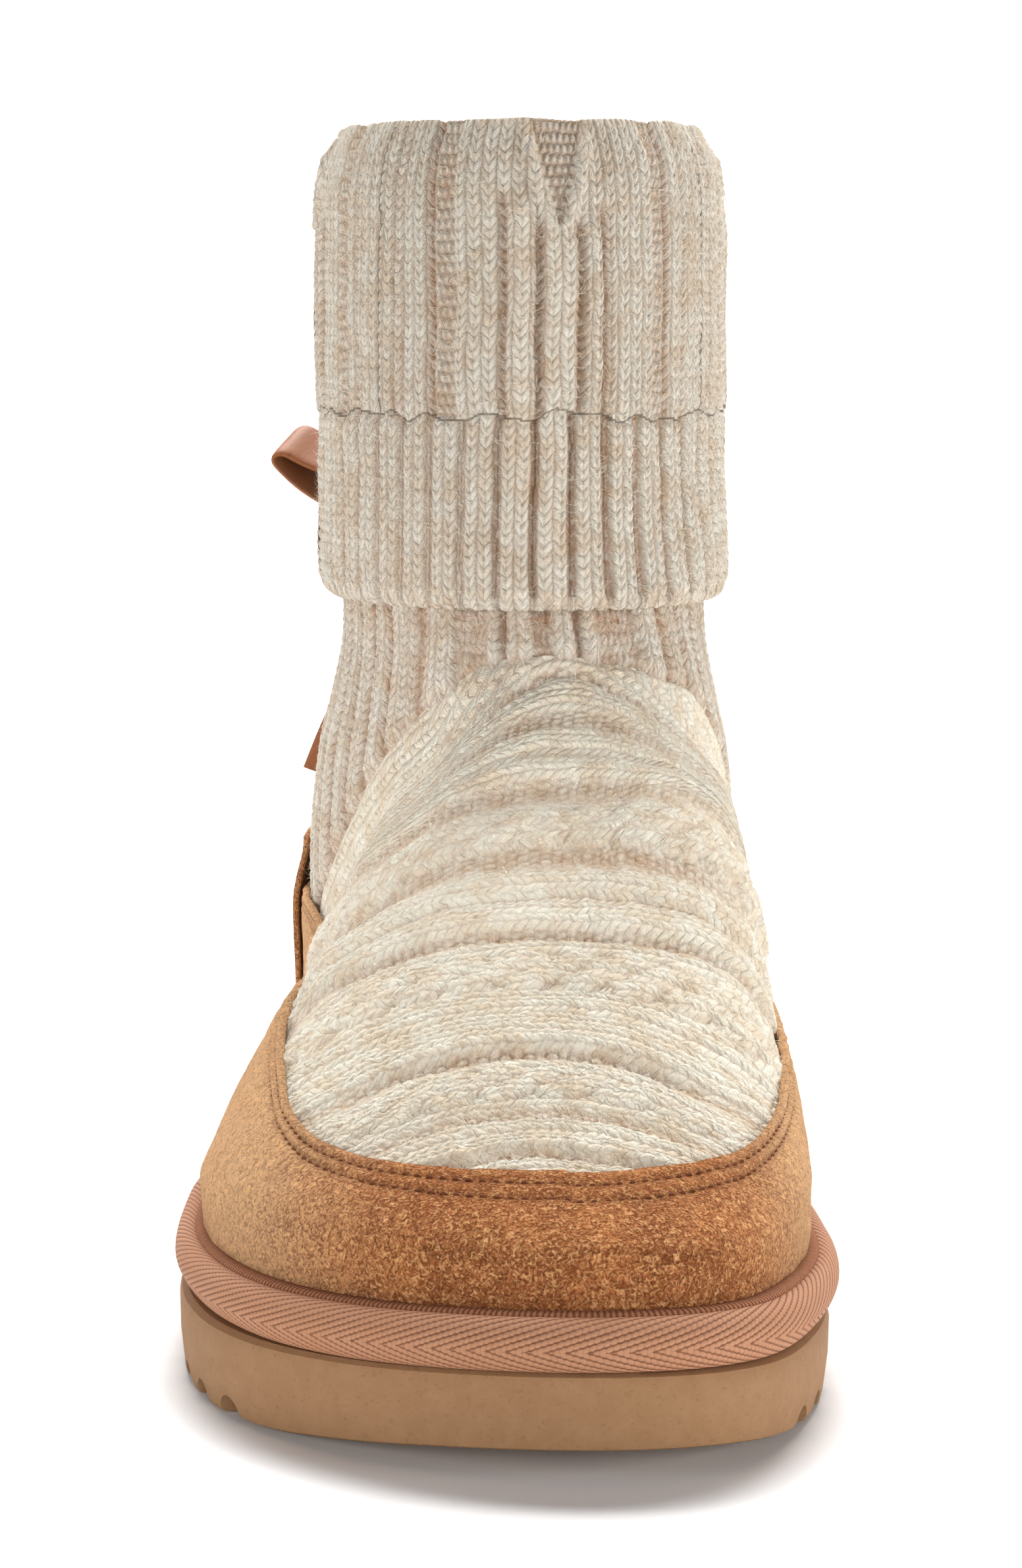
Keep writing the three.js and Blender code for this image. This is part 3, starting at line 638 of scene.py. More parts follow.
def make_tape():
    """Slanted cords of short threads, worked out from lengths along and across the tape."""
    finish, tree, shader, where = start_finish("herringbone_tape", 0.75, 0.25)
    parts = add_node(tree, "ShaderNodeSeparateXYZ", {"Vector": where.outputs["UV"]})
    along, across = parts.outputs["X"], parts.outputs["Y"]
    fold = math(tree, "ABSOLUTE", math(tree, "SUBTRACT", across, TAPE_FOLD))
    row = math(tree, "DIVIDE", math(tree, "MULTIPLY_ADD", along, -TAPE_SLANT, fold), TAPE_ROW)
    cord = math(tree, "PINGPONG", row, 0.5)
    place = math(tree, "DIVIDE", along, TAPE_THREAD)
    shifted = math(tree, "MULTIPLY_ADD", math(tree, "FLOOR", row), 0.37, place)
    thread = math(tree, "PINGPONG", shifted, 0.5)
    fuzz = noise(tree, where.outputs["Object"], 2600.0, 2.0)
    height = math(tree, "MULTIPLY_ADD", math(tree, "SQRT", thread), 0.45, math(tree, "SQRT", cord))
    height = math(tree, "MULTIPLY_ADD", fuzz, 0.2, height)
    patch = noise(tree, where.outputs["Object"], 90.0, 2.0)
    # the weave's pattern, with painted shade in its low parts
    coat = mix(tree, span(tree, height, 0.42, 0.86), shade(122, 72, 50), shade(188, 138, 106))
    coat = mix(tree, span(tree, patch, 0.35, 0.7, 0, 0.35), coat, shade(174, 118, 82))
    tree.links.new(coat, shader.inputs["Base Color"])
    add_bump(tree, shader, height, 0.00035)
    return finish


TAPE = make_tape()
print("tape nodes:", len(TAPE.node_tree.nodes))

# %% Ribbed strip: fine upright ridges, with painted shade between them
RIDGE_PITCH = 0.8


def make_ribbed():
    """Ridges set along the strip, a little uneven."""
    finish, tree, shader, where = start_finish("ribbed_strip", 0.85, 0.2)
    along = add_node(tree, "ShaderNodeSeparateXYZ", {"Vector": where.outputs["UV"]}).outputs["X"]
    fuzz = noise(tree, where.outputs["Object"], 900.0, 2.0)
    place = math(tree, "DIVIDE", math(tree, "MULTIPLY_ADD", fuzz, 0.4, along), RIDGE_PITCH)
    ridge = math(tree, "PINGPONG", place, 0.5)
    # painted shade in the valleys between the ridges
    coat = mix(tree, span(tree, ridge, 0.08, 0.4), shade(126, 76, 50), shade(184, 126, 92))
    tree.links.new(coat, shader.inputs["Base Color"])
    add_bump(tree, shader, ridge, 0.0006)
    return finish


RIBBED = make_ribbed()
print("ribbed strip nodes:", len(RIBBED.node_tree.nodes))


# %% Foam, leather, thread and plush
def make_plain(name, base, dark, light, fineness, depth, roughness, specular, sheen=0.0):
    """A finish of one colour with fine speckle and broad, faint patches, darkened by painted shade where a
    stored value says.
    """
    finish, tree, shader, where = start_finish(name, roughness, specular)
    fibres = place_fibres(tree, where.outputs["Object"], fineness)
    coat = mix(tree, span(tree, fibres["Mottle"], 0.4, 0.7, 0, 0.5), base, light)
    coat = mix(tree, span(tree, fibres["Fleck"], 0.58, 0.75, 0, 0.6), coat, dark)
    # painted shade from the stored value
    coat = mix(tree, math(tree, "MULTIPLY", value_of(tree, "recess"), 0.8), coat, dark)
    tree.links.new(coat, shader.inputs["Base Color"])
    shader.inputs["Sheen Weight"].default_value = sheen
    add_bump(tree, shader, fibres["Height"], depth)
    return finish


FOAM = make_plain(
    "sole_foam", shade(155, 117, 82), shade(132, 96, 65), shade(166, 129, 94), 2600.0, 8e-5, 0.75, 0.25)
LEATHER = make_plain(
    "bow_leather", shade(142, 84, 44), shade(88, 50, 26), shade(154, 96, 54), 1300.0, 5e-5, 0.55, 0.4)
THREAD = make_plain(
    "brown_thread", shade(110, 62, 36), shade(70, 38, 20), shade(130, 78, 46), 3000.0, 1e-4, 0.8, 0.2)
FUZZ = make_plain(
    "loose_fibre", shade(238, 230, 214), shade(214, 196, 170), shade(244, 238, 226), 300.0, 1e-5, 0.9, 0.1)
PLUSH = make_plain(
    "insole_plush", shade(232, 222, 204), shade(205, 188, 162), shade(240, 232, 218), 700.0, 1.5e-3, 1.0, 0.1,
    sheen=0.4)
print("plain finishes:", FOAM.name, LEATHER.name, THREAD.name, FUZZ.name, PLUSH.name)

# %% [markdown]
# ## Knitting
# A knit face is columns of nested V shapes, called wales, and its back is rows of bumps, called purl.
# Stitches this large could be bump alone, but their edges show against the light, so they are real relief
# too: two small functions give the height of a stitch, and each panel adds its own ribs and cables. The
# stitch shader reads the same counts from the UV map, so its finer legs and gaps fall on the raised ones.

# %% Heights of the stitches
WALE = 2.75
COURSE = 1.9


def face_stitch(column, row):
    """Knit face, 0 to 1: two leaning legs to a wale."""
    across = np.abs(2 * (column % 1) - 1)
    leg = np.sin(np.pi * (0.12 + 0.84 * across)) ** 0.7
    bead = np.abs(np.sin(np.pi * (row - 0.85 * across))) ** 0.7
    return leg * (0.35 + 0.65 * bead)


def purl_stitch(column, row):
    """Purl side, 0 to 1: bumps set half a stitch over in every other row."""
    shifted = column + 0.5 * (np.floor(row) % 2)
    return np.sin(np.pi * (row % 1)) * (0.55 + 0.45 * np.cos(2 * np.pi * shifted))


def band(value, low, high, soft=0.6):
    """1 between low and high, with soft sides."""
    return ease(low - soft, low + soft, value) * ease(high + soft, high - soft, value)


def groove(value, at, half):
    """1 at a place, fading softly to both sides."""
    return np.exp(-(((value - at) / half) ** 2))


print("one stitch:", WALE, "by", COURSE, "mm")

# %% [markdown]
# ## The turned-down cuff
# The shaft is knitted long and folded over once. Its lower part is plain two-by-one rib that ends in a
# round hem, and above it a chart of ribs and panels runs up to the fold. The chart is given as short
# tables of where each rib, groove and purl strip lies, and it repeats four times round the leg. Stitches
# could be placed as single loops of yarn, but a fine grid moved by a height keeps the piece one mesh.

# %% Round the cuff: length along its outline, measured from the front
CUFF_MIDDLE_Z = 150.0
CUFF_OUT = 4.1
OUTLINE_POINTS = 721
turn = np.linspace(-np.pi, np.pi, OUTLINE_POINTS)
outline = around(turn, CUFF_MIDDLE_Z)
outline = outline + CUFF_OUT * level_normal(outline)
cuff_run = runs(outline[None], 1)[0]
cuff_run = cuff_run - cuff_run[len(turn) // 2]
CUFF_ROUND = float(cuff_run[-1] - cuff_run[0])
cuff_run = np.concatenate([cuff_run, cuff_run[1:] + CUFF_ROUND])
cuff_turn = np.concatenate([turn, turn[1:] + 2 * np.pi])
RIB_COUNT = 44
RIB_PITCH = CUFF_ROUND / RIB_COUNT
CHART_REPEAT = CUFF_ROUND / 4
print("round the cuff:", round(CUFF_ROUND, 1), "rib pitch:", round(RIB_PITCH, 2))

# %% The chart: places along the cuff, in millimetres from the front
CHART_MIDDLE = 4.95
RIB_START = 0.5
RIB_TOP = 148.0
# place, height where it starts, half width, depth
CHART_GROOVES = [
    (-28.0, 205, 0.7, 0.5), (-25.7, 205, 0.7, 0.5), (-18.7, 205, 0.9, 1.3), (-5.1, 187, 0.8, 1.1),
    (1.2, 182, 0.9, 1.2), (8.7, 182, 0.8, 1.2), (13.5, 185, 0.8, 1.1), (28.3, 205, 0.8, 1.2),
    (33.5, 205, 0.7, 0.5)]
# left side, right side, height where it starts, rise
CHART_RIBS = [(-3.9, 0.2, 186, 0.8), (2.2, 7.7, 181, 0.85), (9.8, 12.8, 183, 0.8)]
CHART_PURL = [(-17.5, -13.7), (24.5, 27.5)]
WEDGE_FOOT, WEDGE_TOP, WEDGE_HALF = 181.0, 199.0, 5.4
STRAND_FADE = 6.0
# left side, right side, softness of the stretch whose ribs lie closer
CLOSE_RIBS = (-66, -6, 5)
# distance from the middle of a gap where it ends, as relief and as shade
RIB_GAP, RIB_SHADE = (0.2, 1.6), (0.1, 1.15)


def rib_part(s, z):
    """Two-by-one rib below the panels: height, painted shade, stitch places and purl. Its left ribs lie
    closer.
    """
    rib = (s - RIB_START) / RIB_PITCH
    edge = RIB_PITCH * np.abs(rib - np.round(rib))
    column = (s - RIB_START - RIB_PITCH * (np.floor(rib) + 0.5)) / WALE + 1 + 3 * np.floor(rib)
    row = z / COURSE
    open_share = 1 - 0.5 * band(s, *CLOSE_RIBS)
    cut = open_share * (1 - ease(*RIB_GAP, edge))
    height = 0.5 - 1.5 * cut + 0.7 * (1 - cut) * (face_stitch(column, row) - 0.5)
    return height, open_share * (1 - ease(*RIB_SHADE, edge)), column, row, 0.0 * height


def chart_part(s, z):
    """Ribs, purl strips and the seed-stitch wedge above."""
    t = (s - CHART_MIDDLE + CHART_REPEAT / 2) % CHART_REPEAT - CHART_REPEAT / 2 + CHART_MIDDLE
    column = (t - CHART_MIDDLE) / WALE + 40 * np.round((s - t) / CHART_REPEAT)
    row = z / COURSE
    wedge_half = WEDGE_HALF * np.clip((z - WEDGE_FOOT) / (WEDGE_TOP - WEDGE_FOOT), 0, 1)
    from_edge = np.abs(t - CHART_MIDDLE) - wedge_half
    high = z > WEDGE_FOOT
    seed = np.where(high, ease(0.5, -0.5, from_edge), 0)
    strand = np.where(high, groove(from_edge, 1.3, 1.1) * ease(WEDGE_TOP, WEDGE_TOP - STRAND_FADE, z), 0)
    purl = sum(band(t, left, right) for left, right in CHART_PURL)
    purl = np.clip(purl + seed, 0, 1)
    height = 0.65 * (face_stitch(column, row) * (1 - purl) + purl_stitch(2 * column, row) * purl)
    height = height - 0.4 * purl + 1.3 * strand
    for left, right, start, rise in CHART_RIBS:
        height = height + rise * band(t, left, right) * ease(start + 2, start - 3, z)
    # painted shade in the purl strips' low places and, below, in the grooves
    deep = 0.4 * purl * (1 - purl_stitch(2 * column, row))
    for at, start, half, depth in CHART_GROOVES:
        cut = groove(t, at, half) * ease(start + 1.5, start - 2, z)
        height = height - depth * cut
        deep = np.maximum(deep, cut * depth / 1.3)
    return height - 0.2, deep, column, row, purl


print("chart rows:", len(CHART_GROOVES) + len(CHART_RIBS) + len(CHART_PURL))

# %% Up the hem, the outside and over the rim
# height, distance outside the shaft
CUFF_SECTION = np.array([
    (124, 0.8), (HEM_Z + 3, 0.8), (HEM_Z + 0.6, 1.5), (HEM_Z, 2.8), (HEM_Z + 0.9, 4.0),
    (HEM_Z + 4, 4.6), (130, 4.4), (150, 4.1), (170, 4.0), (186, 3.6), (193, 2.5), (197.5, 0.6),
    (RIM_Z, -0.9), (198.6, -2.2), (192, -2.9)])
CUFF_FRONT = 68.0
section_run = runs(CUFF_SECTION[None], 1)[0]
CUFF_PATH = np.column_stack([section_run, CUFF_SECTION])
# lengths along the section: above the fold, begin and top of the rim
OUTSIDE_FROM, RIM_FROM, RIM_TOP = section_run[[6, 11, 12]]
# left side, right side, softness of the stretch where the step above the ribs is deepest
JOINT_DEEP = (-40, -22, 4)
HEM_STITCH = 2.9


def cuff_points(s, count):
    """The cuff between two places, with stitches raised on it; also plain normals, painted shade, purl and
    UV.
    """
    at = np.linspace(0, section_run[-1], count)
    z = read(CUFF_PATH, 1, at)[:, None]
    out = read(CUFF_PATH, 2, at)[:, None, None]
    few = np.linspace(s[0], s[-1], 1 + len(s) // 4)
    shaft = around(np.interp(few, cuff_run, cuff_turn)[None], z)
    base = refine(shaft + out * level_normal(shaft), len(s), 1)
    normal = grid_normals(base)
    path = at[:, None]
    bend = 0.35 * waver(s / 16, path / 11, 1) + 0.2 * waver(s / 6, path / 5, 2)
    ribs = rib_part(s + bend, path)
    chart = chart_part(s + bend, z)
    puff = z - RIB_TOP - 1.6 * waver(s / 4.1, path / 90, 15)
    up = ease(-0.9, 0.9, puff) * (path > OUTSIDE_FROM)
    height, deep, column, row, purl = (a + up * (b - a) for a, b in zip(ribs, chart))
    joint = groove(puff, -0.4, 0.7) * (path > OUTSIDE_FROM) * (0.3 + 0.5 * band(s, *JOINT_DEEP))
    height = height - 0.7 * joint
    # painted shade in the step above the ribs
    deep = deep + 0.4 * joint
    column, row = (np.where(up > 0.5, b, a) for a, b in zip(ribs[2:4], chart[2:4]))
    hem = ease(HEM_Z + 3.4, HEM_Z + 1.6, z) * np.ones_like(s)
    beads = np.abs(np.sin(np.pi * (s + bend) / HEM_STITCH)) ** 0.6
    height = height * (1 - hem) + hem * (0.55 * beads - 0.1)
    # painted shade between the hem's beads
    deep = deep * (1 - 0.7 * hem) + 0.3 * hem * (1 - beads)
    inside = ease(RIM_FROM, RIM_TOP, path)
    height = height * (1 - 0.6 * inside) + 0.25 * waver(s / 9, path / 7, 3)
    return base + normal * (height - 0.3)[..., None], normal, np.clip(deep, 0, 1), purl, (column, row)


print("over the cuff:", round(float(section_run[-1]), 1), "mm")

# %% Lay the cuff in a fine front half and a plainer back half
FRONT_COLUMNS, FRONT_ROWS = 321, 281
BACK_COLUMNS, BACK_ROWS = 241, 151
fuzz_roots = []


def lay_cuff(name, s, rows):
    """One part of the cuff, whose points are kept as roots for loose fibres."""
    points, normal, deep, purl, uv = cuff_points(s, rows)
    fuzz_roots.append((points, normal))
    wear(lay_grid(name, points, uv, recess=deep, purl=purl), CUFF_WOOL, "knit", "knit_upper")


lay_cuff("cuff_front", np.linspace(-CUFF_FRONT, CUFF_FRONT, FRONT_COLUMNS), FRONT_ROWS)
lay_cuff("cuff_back", np.linspace(CUFF_FRONT, CUFF_ROUND - CUFF_FRONT, BACK_COLUMNS), BACK_ROWS)

# %% [markdown]
# ## The vamp
# Over the foot the knit is turned so that its wales run from side to side. Ribs, grooves and three cables
# follow each other towards the toe. One table gives the height of the fabric along the foot, and the
# stitches are added across it. The seam to the shaft is an arch over the instep. Such relief could be
# sculpted, but a table can be corrected one rib at a time.

# %% The vamp's grid: fans of rays from the foot's middle, upright at the toe, leaning forward at the seam
VAMP_TOE = -116.0
VAMP_SIDE = radians(88)
FAN_BACK, FAN_RISE = 25.0, 72.0
# places between which the rays begin to lean
FAN_LEAN = (-25, 12)
# angle from upright, where the vamp ends in the seam
SEAM = np.array([
    (-90, 50), (-67, 47), (-53, 43.7), (-42, 37.7), (-34, 33.4), (-26, 28.6), (-18.5, 23.5), (-12, 19),
    (-7, 16.4), (-3, 14.8), (3, 13.4), (10, 14), (14, 16), (19, 20), (23, 26), (30, 31), (42, 37.7),
    (53, 43.7), (67, 47), (90, 50)])
VAMP_COLUMNS, VAMP_ROWS = 331, 273
COARSE_COLUMNS, COARSE_ROWS = 111, 92


def vamp_base(columns, rows):
    """Points of the last under the vamp."""
    angle = np.linspace(-VAMP_SIDE, VAMP_SIDE, columns)[None]
    share = np.linspace(0, 1, rows)[:, None]
    place = VAMP_TOE + share * (read(SEAM, 1, np.degrees(angle)) - VAMP_TOE)
    behind = FAN_BACK * ease(*FAN_LEAN, place)
    angle = angle * np.ones_like(place)
    start = np.stack([read(PLAN, CENTRE, place + behind), place + behind, np.full(place.shape, WIDEST_Z)], -1)
    way = np.stack([np.sin(angle), -behind / FAN_RISE * np.cos(angle), np.cos(angle)], -1)
    return leave(start, way)


coarse = vamp_base(COARSE_COLUMNS, COARSE_ROWS)
vamp = refine(refine(coarse, VAMP_COLUMNS, 1), VAMP_ROWS, 0)
vamp_normal = grid_normals(vamp)
vamp_run = runs(vamp, 1)
vamp_run = vamp_run - vamp_run[:, [VAMP_COLUMNS // 2]]
print("vamp across the ball:", round(float(np.ptp(vamp_run[VAMP_ROWS // 3])), 1))

# %% Where the wales run: they bow over the foot, and their ends draw together beside the throat
THROAT_FRONT = -18.0
# place along the foot, middle of the bow, bend on the lateral side and on the medial side, per metre
BOWS = np.array([
    (-106, 0, -9, -10), (-92, 3, -6, -6), (-76, 2, -5.6, -6), (-50, 6, 3, 5.6), (-31.5, 6, 3, 7),
    (-18, 6, 12, 11)])
BOW_REACH = 30.0
# length from the middle, how close together the throat's wales lie there
THROAT = np.array([
    (-34, 0.5), (-18, 0.5), (-10, 0.68), (0, 0.93), (8, 1), (20, 0.86), (30, 0.68), (43, 0.5),
    (60, 0.5)])


def bow(w, along):
    """How far behind its own middle a wale lies, at a length from the middle of the foot."""
    off = along - read(BOWS, 1, w)
    bend = np.where(off < 0, read(BOWS, 2, w), read(BOWS, 3, w)) / 1000
    near = np.minimum(np.abs(off), BOW_REACH)
    return bend * near ** 2 + np.maximum(bend, 0) * 2 * BOW_REACH * (np.abs(off) - near)


def wale_place(y, along):
    """Which place along the middle of the foot each point's wale comes from."""
    w = y
    for _ in range(14):
        w = 0.5 * (w + y - bow(np.minimum(w, THROAT_FRONT), along))
    front = THROAT_FRONT + bow(np.full_like(y, THROAT_FRONT), along)
    behind = THROAT_FRONT + (y - front) / read(THROAT, 1, along)
    return np.where(y > front, behind, np.minimum(w, THROAT_FRONT))


print("wale over the instep's side:", np.round(wale_place(np.array([0.0]), np.array([20.0])), 1))

# %% Heights along the foot
# place along the foot, height of the fabric
VAMP_WALES = np.array([
    (-116, 0), (-112, 0.1), (-105.5, 0.6), (-102.1, -0.8), (-99.5, 0.6), (-97, 0.2), (-94.5, 0.6),
    (-91.7, -0.7), (-88, 0.1), (-83.5, 0.3), (-79, 0.1), (-76.4, -0.9), (-73.5, 0.7), (-70, 0.5),
    (-67.5, 0.1), (-65, 0.5), (-63, 0.3), (-57.5, 0.4), (-52, 0.1), (-49.3, -0.8), (-46.5, 0.7),
    (-44, 0.6), (-41.5, -0.3), (-39.5, 0.5), (-37, 0.6), (-33.5, -0.6), (-31, -0.6), (-28.5, 0.3),
    (-26.5, 0.5), (-22.5, 0.3), (-19, -0.8), (-16.5, -0.8), (-13, 0.9), (-11.5, 0.8), (-9.3, -0.4),
    (-7.5, 0.7), (-5, 0.8), (-2, -0.6), (1, -0.6), (3.8, 0.7), (6.5, 0.7), (8.9, -0.5), (11, 0.4),
    (14, 0.1)])
# place, half width of the strips that are purled
VAMP_PURL = [
    (-0.5, 2.2), (-17.6, 2.3), (-32, 2.3), (-49.3, 1.2), (-76.4, 1.4), (-91.7, 1.2), (-102.1, 1.1),
    (8.9, 1.0)]
VAMP_CABLES = (-83.5, -57.5, -26.0)
CABLE_PERIOD, CABLE_SWING, CABLE_HALF = 18.5, 2.1, 2.5
# behind this wale the fabric is plain, and its stitches are this much wider
FLANK, FLANK_WIDER = 12.5, 1.9
# how far the soft knit puffs out above the suede on each side
PUFF_LATERAL, PUFF_MEDIAL = 2.4, 0.5
# heights, places along the foot and lengths from its middle between which the sides puff out
PUFF_FOOT, PUFF_HEAD, PUFF_ALONG, PUFF_ACROSS = (52, 60), (98, 80), (-50, 22, 12), (22, 40)
# height over the suede and length from the middle between which the knit may not sink, and its least height
SUEDE_NEAR, SUEDE_SIDES, SUEDE_LEAST = (7, 1), (18, 34), 0.1
# length from the middle where the shade is weakest and where it is full
VAMP_MIDDLE = (75, 20)
CABLE_BAND, CABLE_SOFT = 4.4, 0.9
SEAM_DIP, SEAM_FROM = 1.2, 0.982

# y, height of the suede's upper edge on the lateral side, on the medial side
FOXING_EDGE = np.array([
    (-137, 39.4, 39.2), (-116, 39.4, 39), (-106, 40.2, 39.5), (-94, 43, 40.8), (-86, 46, 41.7),
    (-69, 50.2, 43.6), (-54, 52.6, 45.4), (-30, 53.4, 46.8), (0, 51.6, 48), (30, 51, 50), (46, 52, 52),
    (62, 55, 55), (137, 56, 56)])


def foxing_edge(side, y):
    """Height of the suede's upper edge; side is above zero on the medial side."""
    return np.where(side > 0, read(FOXING_EDGE, 2, y), read(FOXING_EDGE, 1, y))


def cable(away, along):
    """Two strands that cross over each other: height, and how deep the gaps between them are."""
    turn = 2 * np.pi * along / CABLE_PERIOD
    swing = CABLE_SWING * np.sin(turn)
    first = 1 - ((away - swing) / CABLE_HALF) ** 2
    second = 1 - ((away + swing) / CABLE_HALF) ** 2
    over = np.where(np.cos(turn) > 0, first, second)
    under = np.where(np.cos(turn) > 0, second, first)
    body = np.maximum(np.clip(over, 0, 1) ** 0.5, 0.75 * np.clip(under, 0, 1) ** 0.5)
    edge = groove(over, 0.0, 0.3) * (np.abs(away) < CABLE_HALF + CABLE_SWING)
    return body, edge, np.where(over > 0, away - swing, away + swing)


def vamp_relief(points, along, forward):
    """Height, painted shade, purl and stitch places over the vamp; forward is the length back from the toe.
    """
    y, z = points[..., 1], points[..., 2]
    w = wale_place(y, along) + 0.45 * waver(along / 17, y / 12, 4) + 0.3 * waver(along / 5, y / 4, 5)
    w = w + 0.2 * waver(along / 1.8, y / 1.8, 14)
    macro = read(VAMP_WALES, 1, w)
    flank = ease(FLANK - 1, FLANK + 1, w)
    rising = np.maximum.accumulate(w, axis=0)
    turned = np.array([np.interp(FLANK, rising[:, k], forward[:, k]) for k in range(w.shape[1])])
    column = np.where(w > FLANK, FLANK + (forward - turned) / FLANK_WIDER, w) / WALE
    row = along / COURSE
    purl = np.clip(sum(groove(w, at, half) for at, half in VAMP_PURL), 0, 1)
    bumps = purl_stitch(2 * column, row)
    fine = face_stitch(column, row) * (1 - purl) + bumps * purl
    middle = ease(*VAMP_MIDDLE, np.abs(along))
    patchy = 0.8 + 0.35 * waver(along / 4, y / 3, 17)
    # painted shade in purl strips and low wales, patchy, weaker towards the sides, none on the plain flank
    deep = np.maximum(0.8 * purl * (1 - 0.5 * bumps), 0.5 * ease(0.1, -0.6, macro))
    deep = deep * patchy * (0.45 + 0.55 * middle) * (1 - flank)
    macro = macro * (1 - 0.8 * flank)
    for at in VAMP_CABLES:
        body, edge, off = cable(w - at, along + 9 * at)
        inside = band(w, at - CABLE_BAND, at + CABLE_BAND, CABLE_SOFT)
        macro = macro + inside * (0.95 * body - 0.4)
        # painted shade along the edges of the cable strands
        deep = np.maximum(deep, 0.55 * inside * edge * patchy)
        fine = fine + inside * (face_stitch(off / WALE + 0.5, row) - fine)
    soft = 0.2 * waver(along / 3.1, y / 2.3, 18)
    drawn = np.where(w > THROAT_FRONT, read(THROAT, 1, along), 1.0)
    height = drawn * (1.15 * macro + 0.6 * (1 + 0.3 * flank) * fine + soft) - 0.4
    sides = ease(*PUFF_FOOT, z) * ease(*PUFF_HEAD, z) * band(y, *PUFF_ALONG)
    puffs = PUFF_LATERAL * ease(*PUFF_ACROSS, -along) + PUFF_MEDIAL * ease(*PUFF_ACROSS, along)
    height = height + sides * puffs
    by_suede = ease(*SUEDE_NEAR, z - foxing_edge(along, y)) * ease(*SUEDE_SIDES, np.abs(along))
    height = height + by_suede * np.maximum(SUEDE_LEAST - height, 0)
    return height, np.clip(drawn * deep, 0, 1), purl, (column, row)


relief, deep, purl, vamp_uv = vamp_relief(vamp, vamp_run, runs(vamp, 0))
relief = relief - SEAM_DIP * ease(SEAM_FROM, 1.0, np.linspace(0, 1, VAMP_ROWS))[:, None]
vamp_points = vamp + vamp_normal * relief[..., None]
fuzz_roots.append((vamp_points, vamp_normal))
wear(lay_grid("vamp", vamp_points, vamp_uv, recess=deep, purl=purl), FOOT_WOOL, "knit", "knit_upper")

# %% [markdown]
# ## The shaft below the cuff, and the quarters
# Behind the seam the ribs run upright, from the suede to under the cuff. The grid starts a little below
# the seam, tucked under the vamp, so that the two knits meet as a sewn edge does. One grid for both would
# have to turn its stitches at the seam, so each side has its own.

# %% Shaft grid and its ribs
SHAFT_TOP = 121.0
QUARTER_FOOT = 34.0
TUCK = 5.0
SHAFT_COLUMNS, SHAFT_ROWS = 481, 109
COARSE_TURNS, COARSE_HEIGHTS = 121, 41
shaft_outline = around(turn, HEM_Z - 5)
shaft_run = runs(shaft_outline[None], 1)[0]
shaft_run = shaft_run - shaft_run[len(turn) // 2]
SHAFT_ROUND = float(np.ptp(shaft_run))
# left side, right side of what stands up below the hem at the front
SHAFT_RIBS = [(-21, -15.3), (-8.3, -6.3), (-4.5, -0.6), (4.5, 7), (9, 11.5), (20.4, 24.2)]
SHAFT_PURL = [(-15.3, -8.3), (-0.6, 3.8), (11.5, 20.4)]
# place, half width of the gaps between them
SHAFT_GROOVES = [(-24.3, 1.8), (-5.4, 0.8), (8.0, 0.8), (27.8, 1.3)]
SHAFT_CHART = 28.0
SHAFT_GAP = (0.3, 1.9)
SHAFT_RIB = SHAFT_ROUND / 40


def shaft_relief(s, z):
    """Height, painted shade, purl and stitch places below the hem."""
    bent = s + 0.4 * waver(s / 15, z / 10, 6) + 0.25 * waver(s / 4, z / 4, 19)
    column, row = bent / WALE, z / COURSE
    purl = sum(band(bent, left, right, 0.4) for left, right in SHAFT_PURL)
    raised = sum(band(bent, left, right, 0.5) for left, right in SHAFT_RIBS)
    cut = sum(groove(bent, at, half) for at, half in SHAFT_GROOVES)
    bumps = purl_stitch(2 * column, row)
    fine = face_stitch(column, row) * (1 - purl) + 0.5 * bumps * purl
    chart = 0.6 * fine + 0.8 * raised - 0.5 * purl - 0.9 * cut
    # painted shade in the grooves and purl strips of the front chart
    chart_deep = np.clip(0.85 * cut + 0.7 * purl * (0.75 + 0.4 * waver(s / 1.7, z / 1.7, 21)), 0, 1)
    rib = bent / SHAFT_RIB
    edge = SHAFT_RIB * np.abs(rib - np.round(rib))
    ridge = ease(*SHAFT_GAP, edge)
    plain = 1.3 * ridge - 1.0 + 0.6 * face_stitch(column, row)
    # painted shade between the plain ribs
    plain_deep = 0.95 * (1 - ridge)
    front = ease(SHAFT_CHART + 0.5, SHAFT_CHART - 0.5, np.abs(s))
    height = front * chart + (1 - front) * plain
    deep = front * chart_deep + (1 - front) * plain_deep
    return height, deep, 0.4 * front * purl, (column, row)


seam_line = coarse[-1]
seam_angle = np.arctan2(seam_line[:, 0] - SHAFT_X, SHAFT_Y - seam_line[:, 1])
shaft_turn = np.linspace(-np.pi, np.pi, COARSE_TURNS)
foot_z = np.interp(shaft_turn, seam_angle, seam_line[:, 2] - TUCK, QUARTER_FOOT, QUARTER_FOOT)
foot_z = np.maximum(foot_z, QUARTER_FOOT)[None]
shaft_z = foot_z + np.linspace(0, 1, COARSE_HEIGHTS)[:, None] * (SHAFT_TOP - foot_z)
shaft = refine(refine(around(shaft_turn[None], shaft_z), SHAFT_COLUMNS, 1), SHAFT_ROWS, 0)
shaft[:, -1] = shaft[:, 0]
fine_turn = np.linspace(-np.pi, np.pi, SHAFT_COLUMNS)
shaft_s = np.interp(fine_turn, turn, shaft_run)[None]
relief, deep, purl, shaft_uv = shaft_relief(shaft_s, shaft[..., 2])
seam_z = refine(foot_z, SHAFT_COLUMNS, 1) + TUCK
under_vamp = ease(1.5, -1.5, shaft[..., 2] - seam_z) * (seam_z > QUARTER_FOOT + TUCK + 0.5)
in_cuff = ease(HEM_Z, HEM_Z + 4, shaft[..., 2])
shaft_normal = ring_normals(shaft)
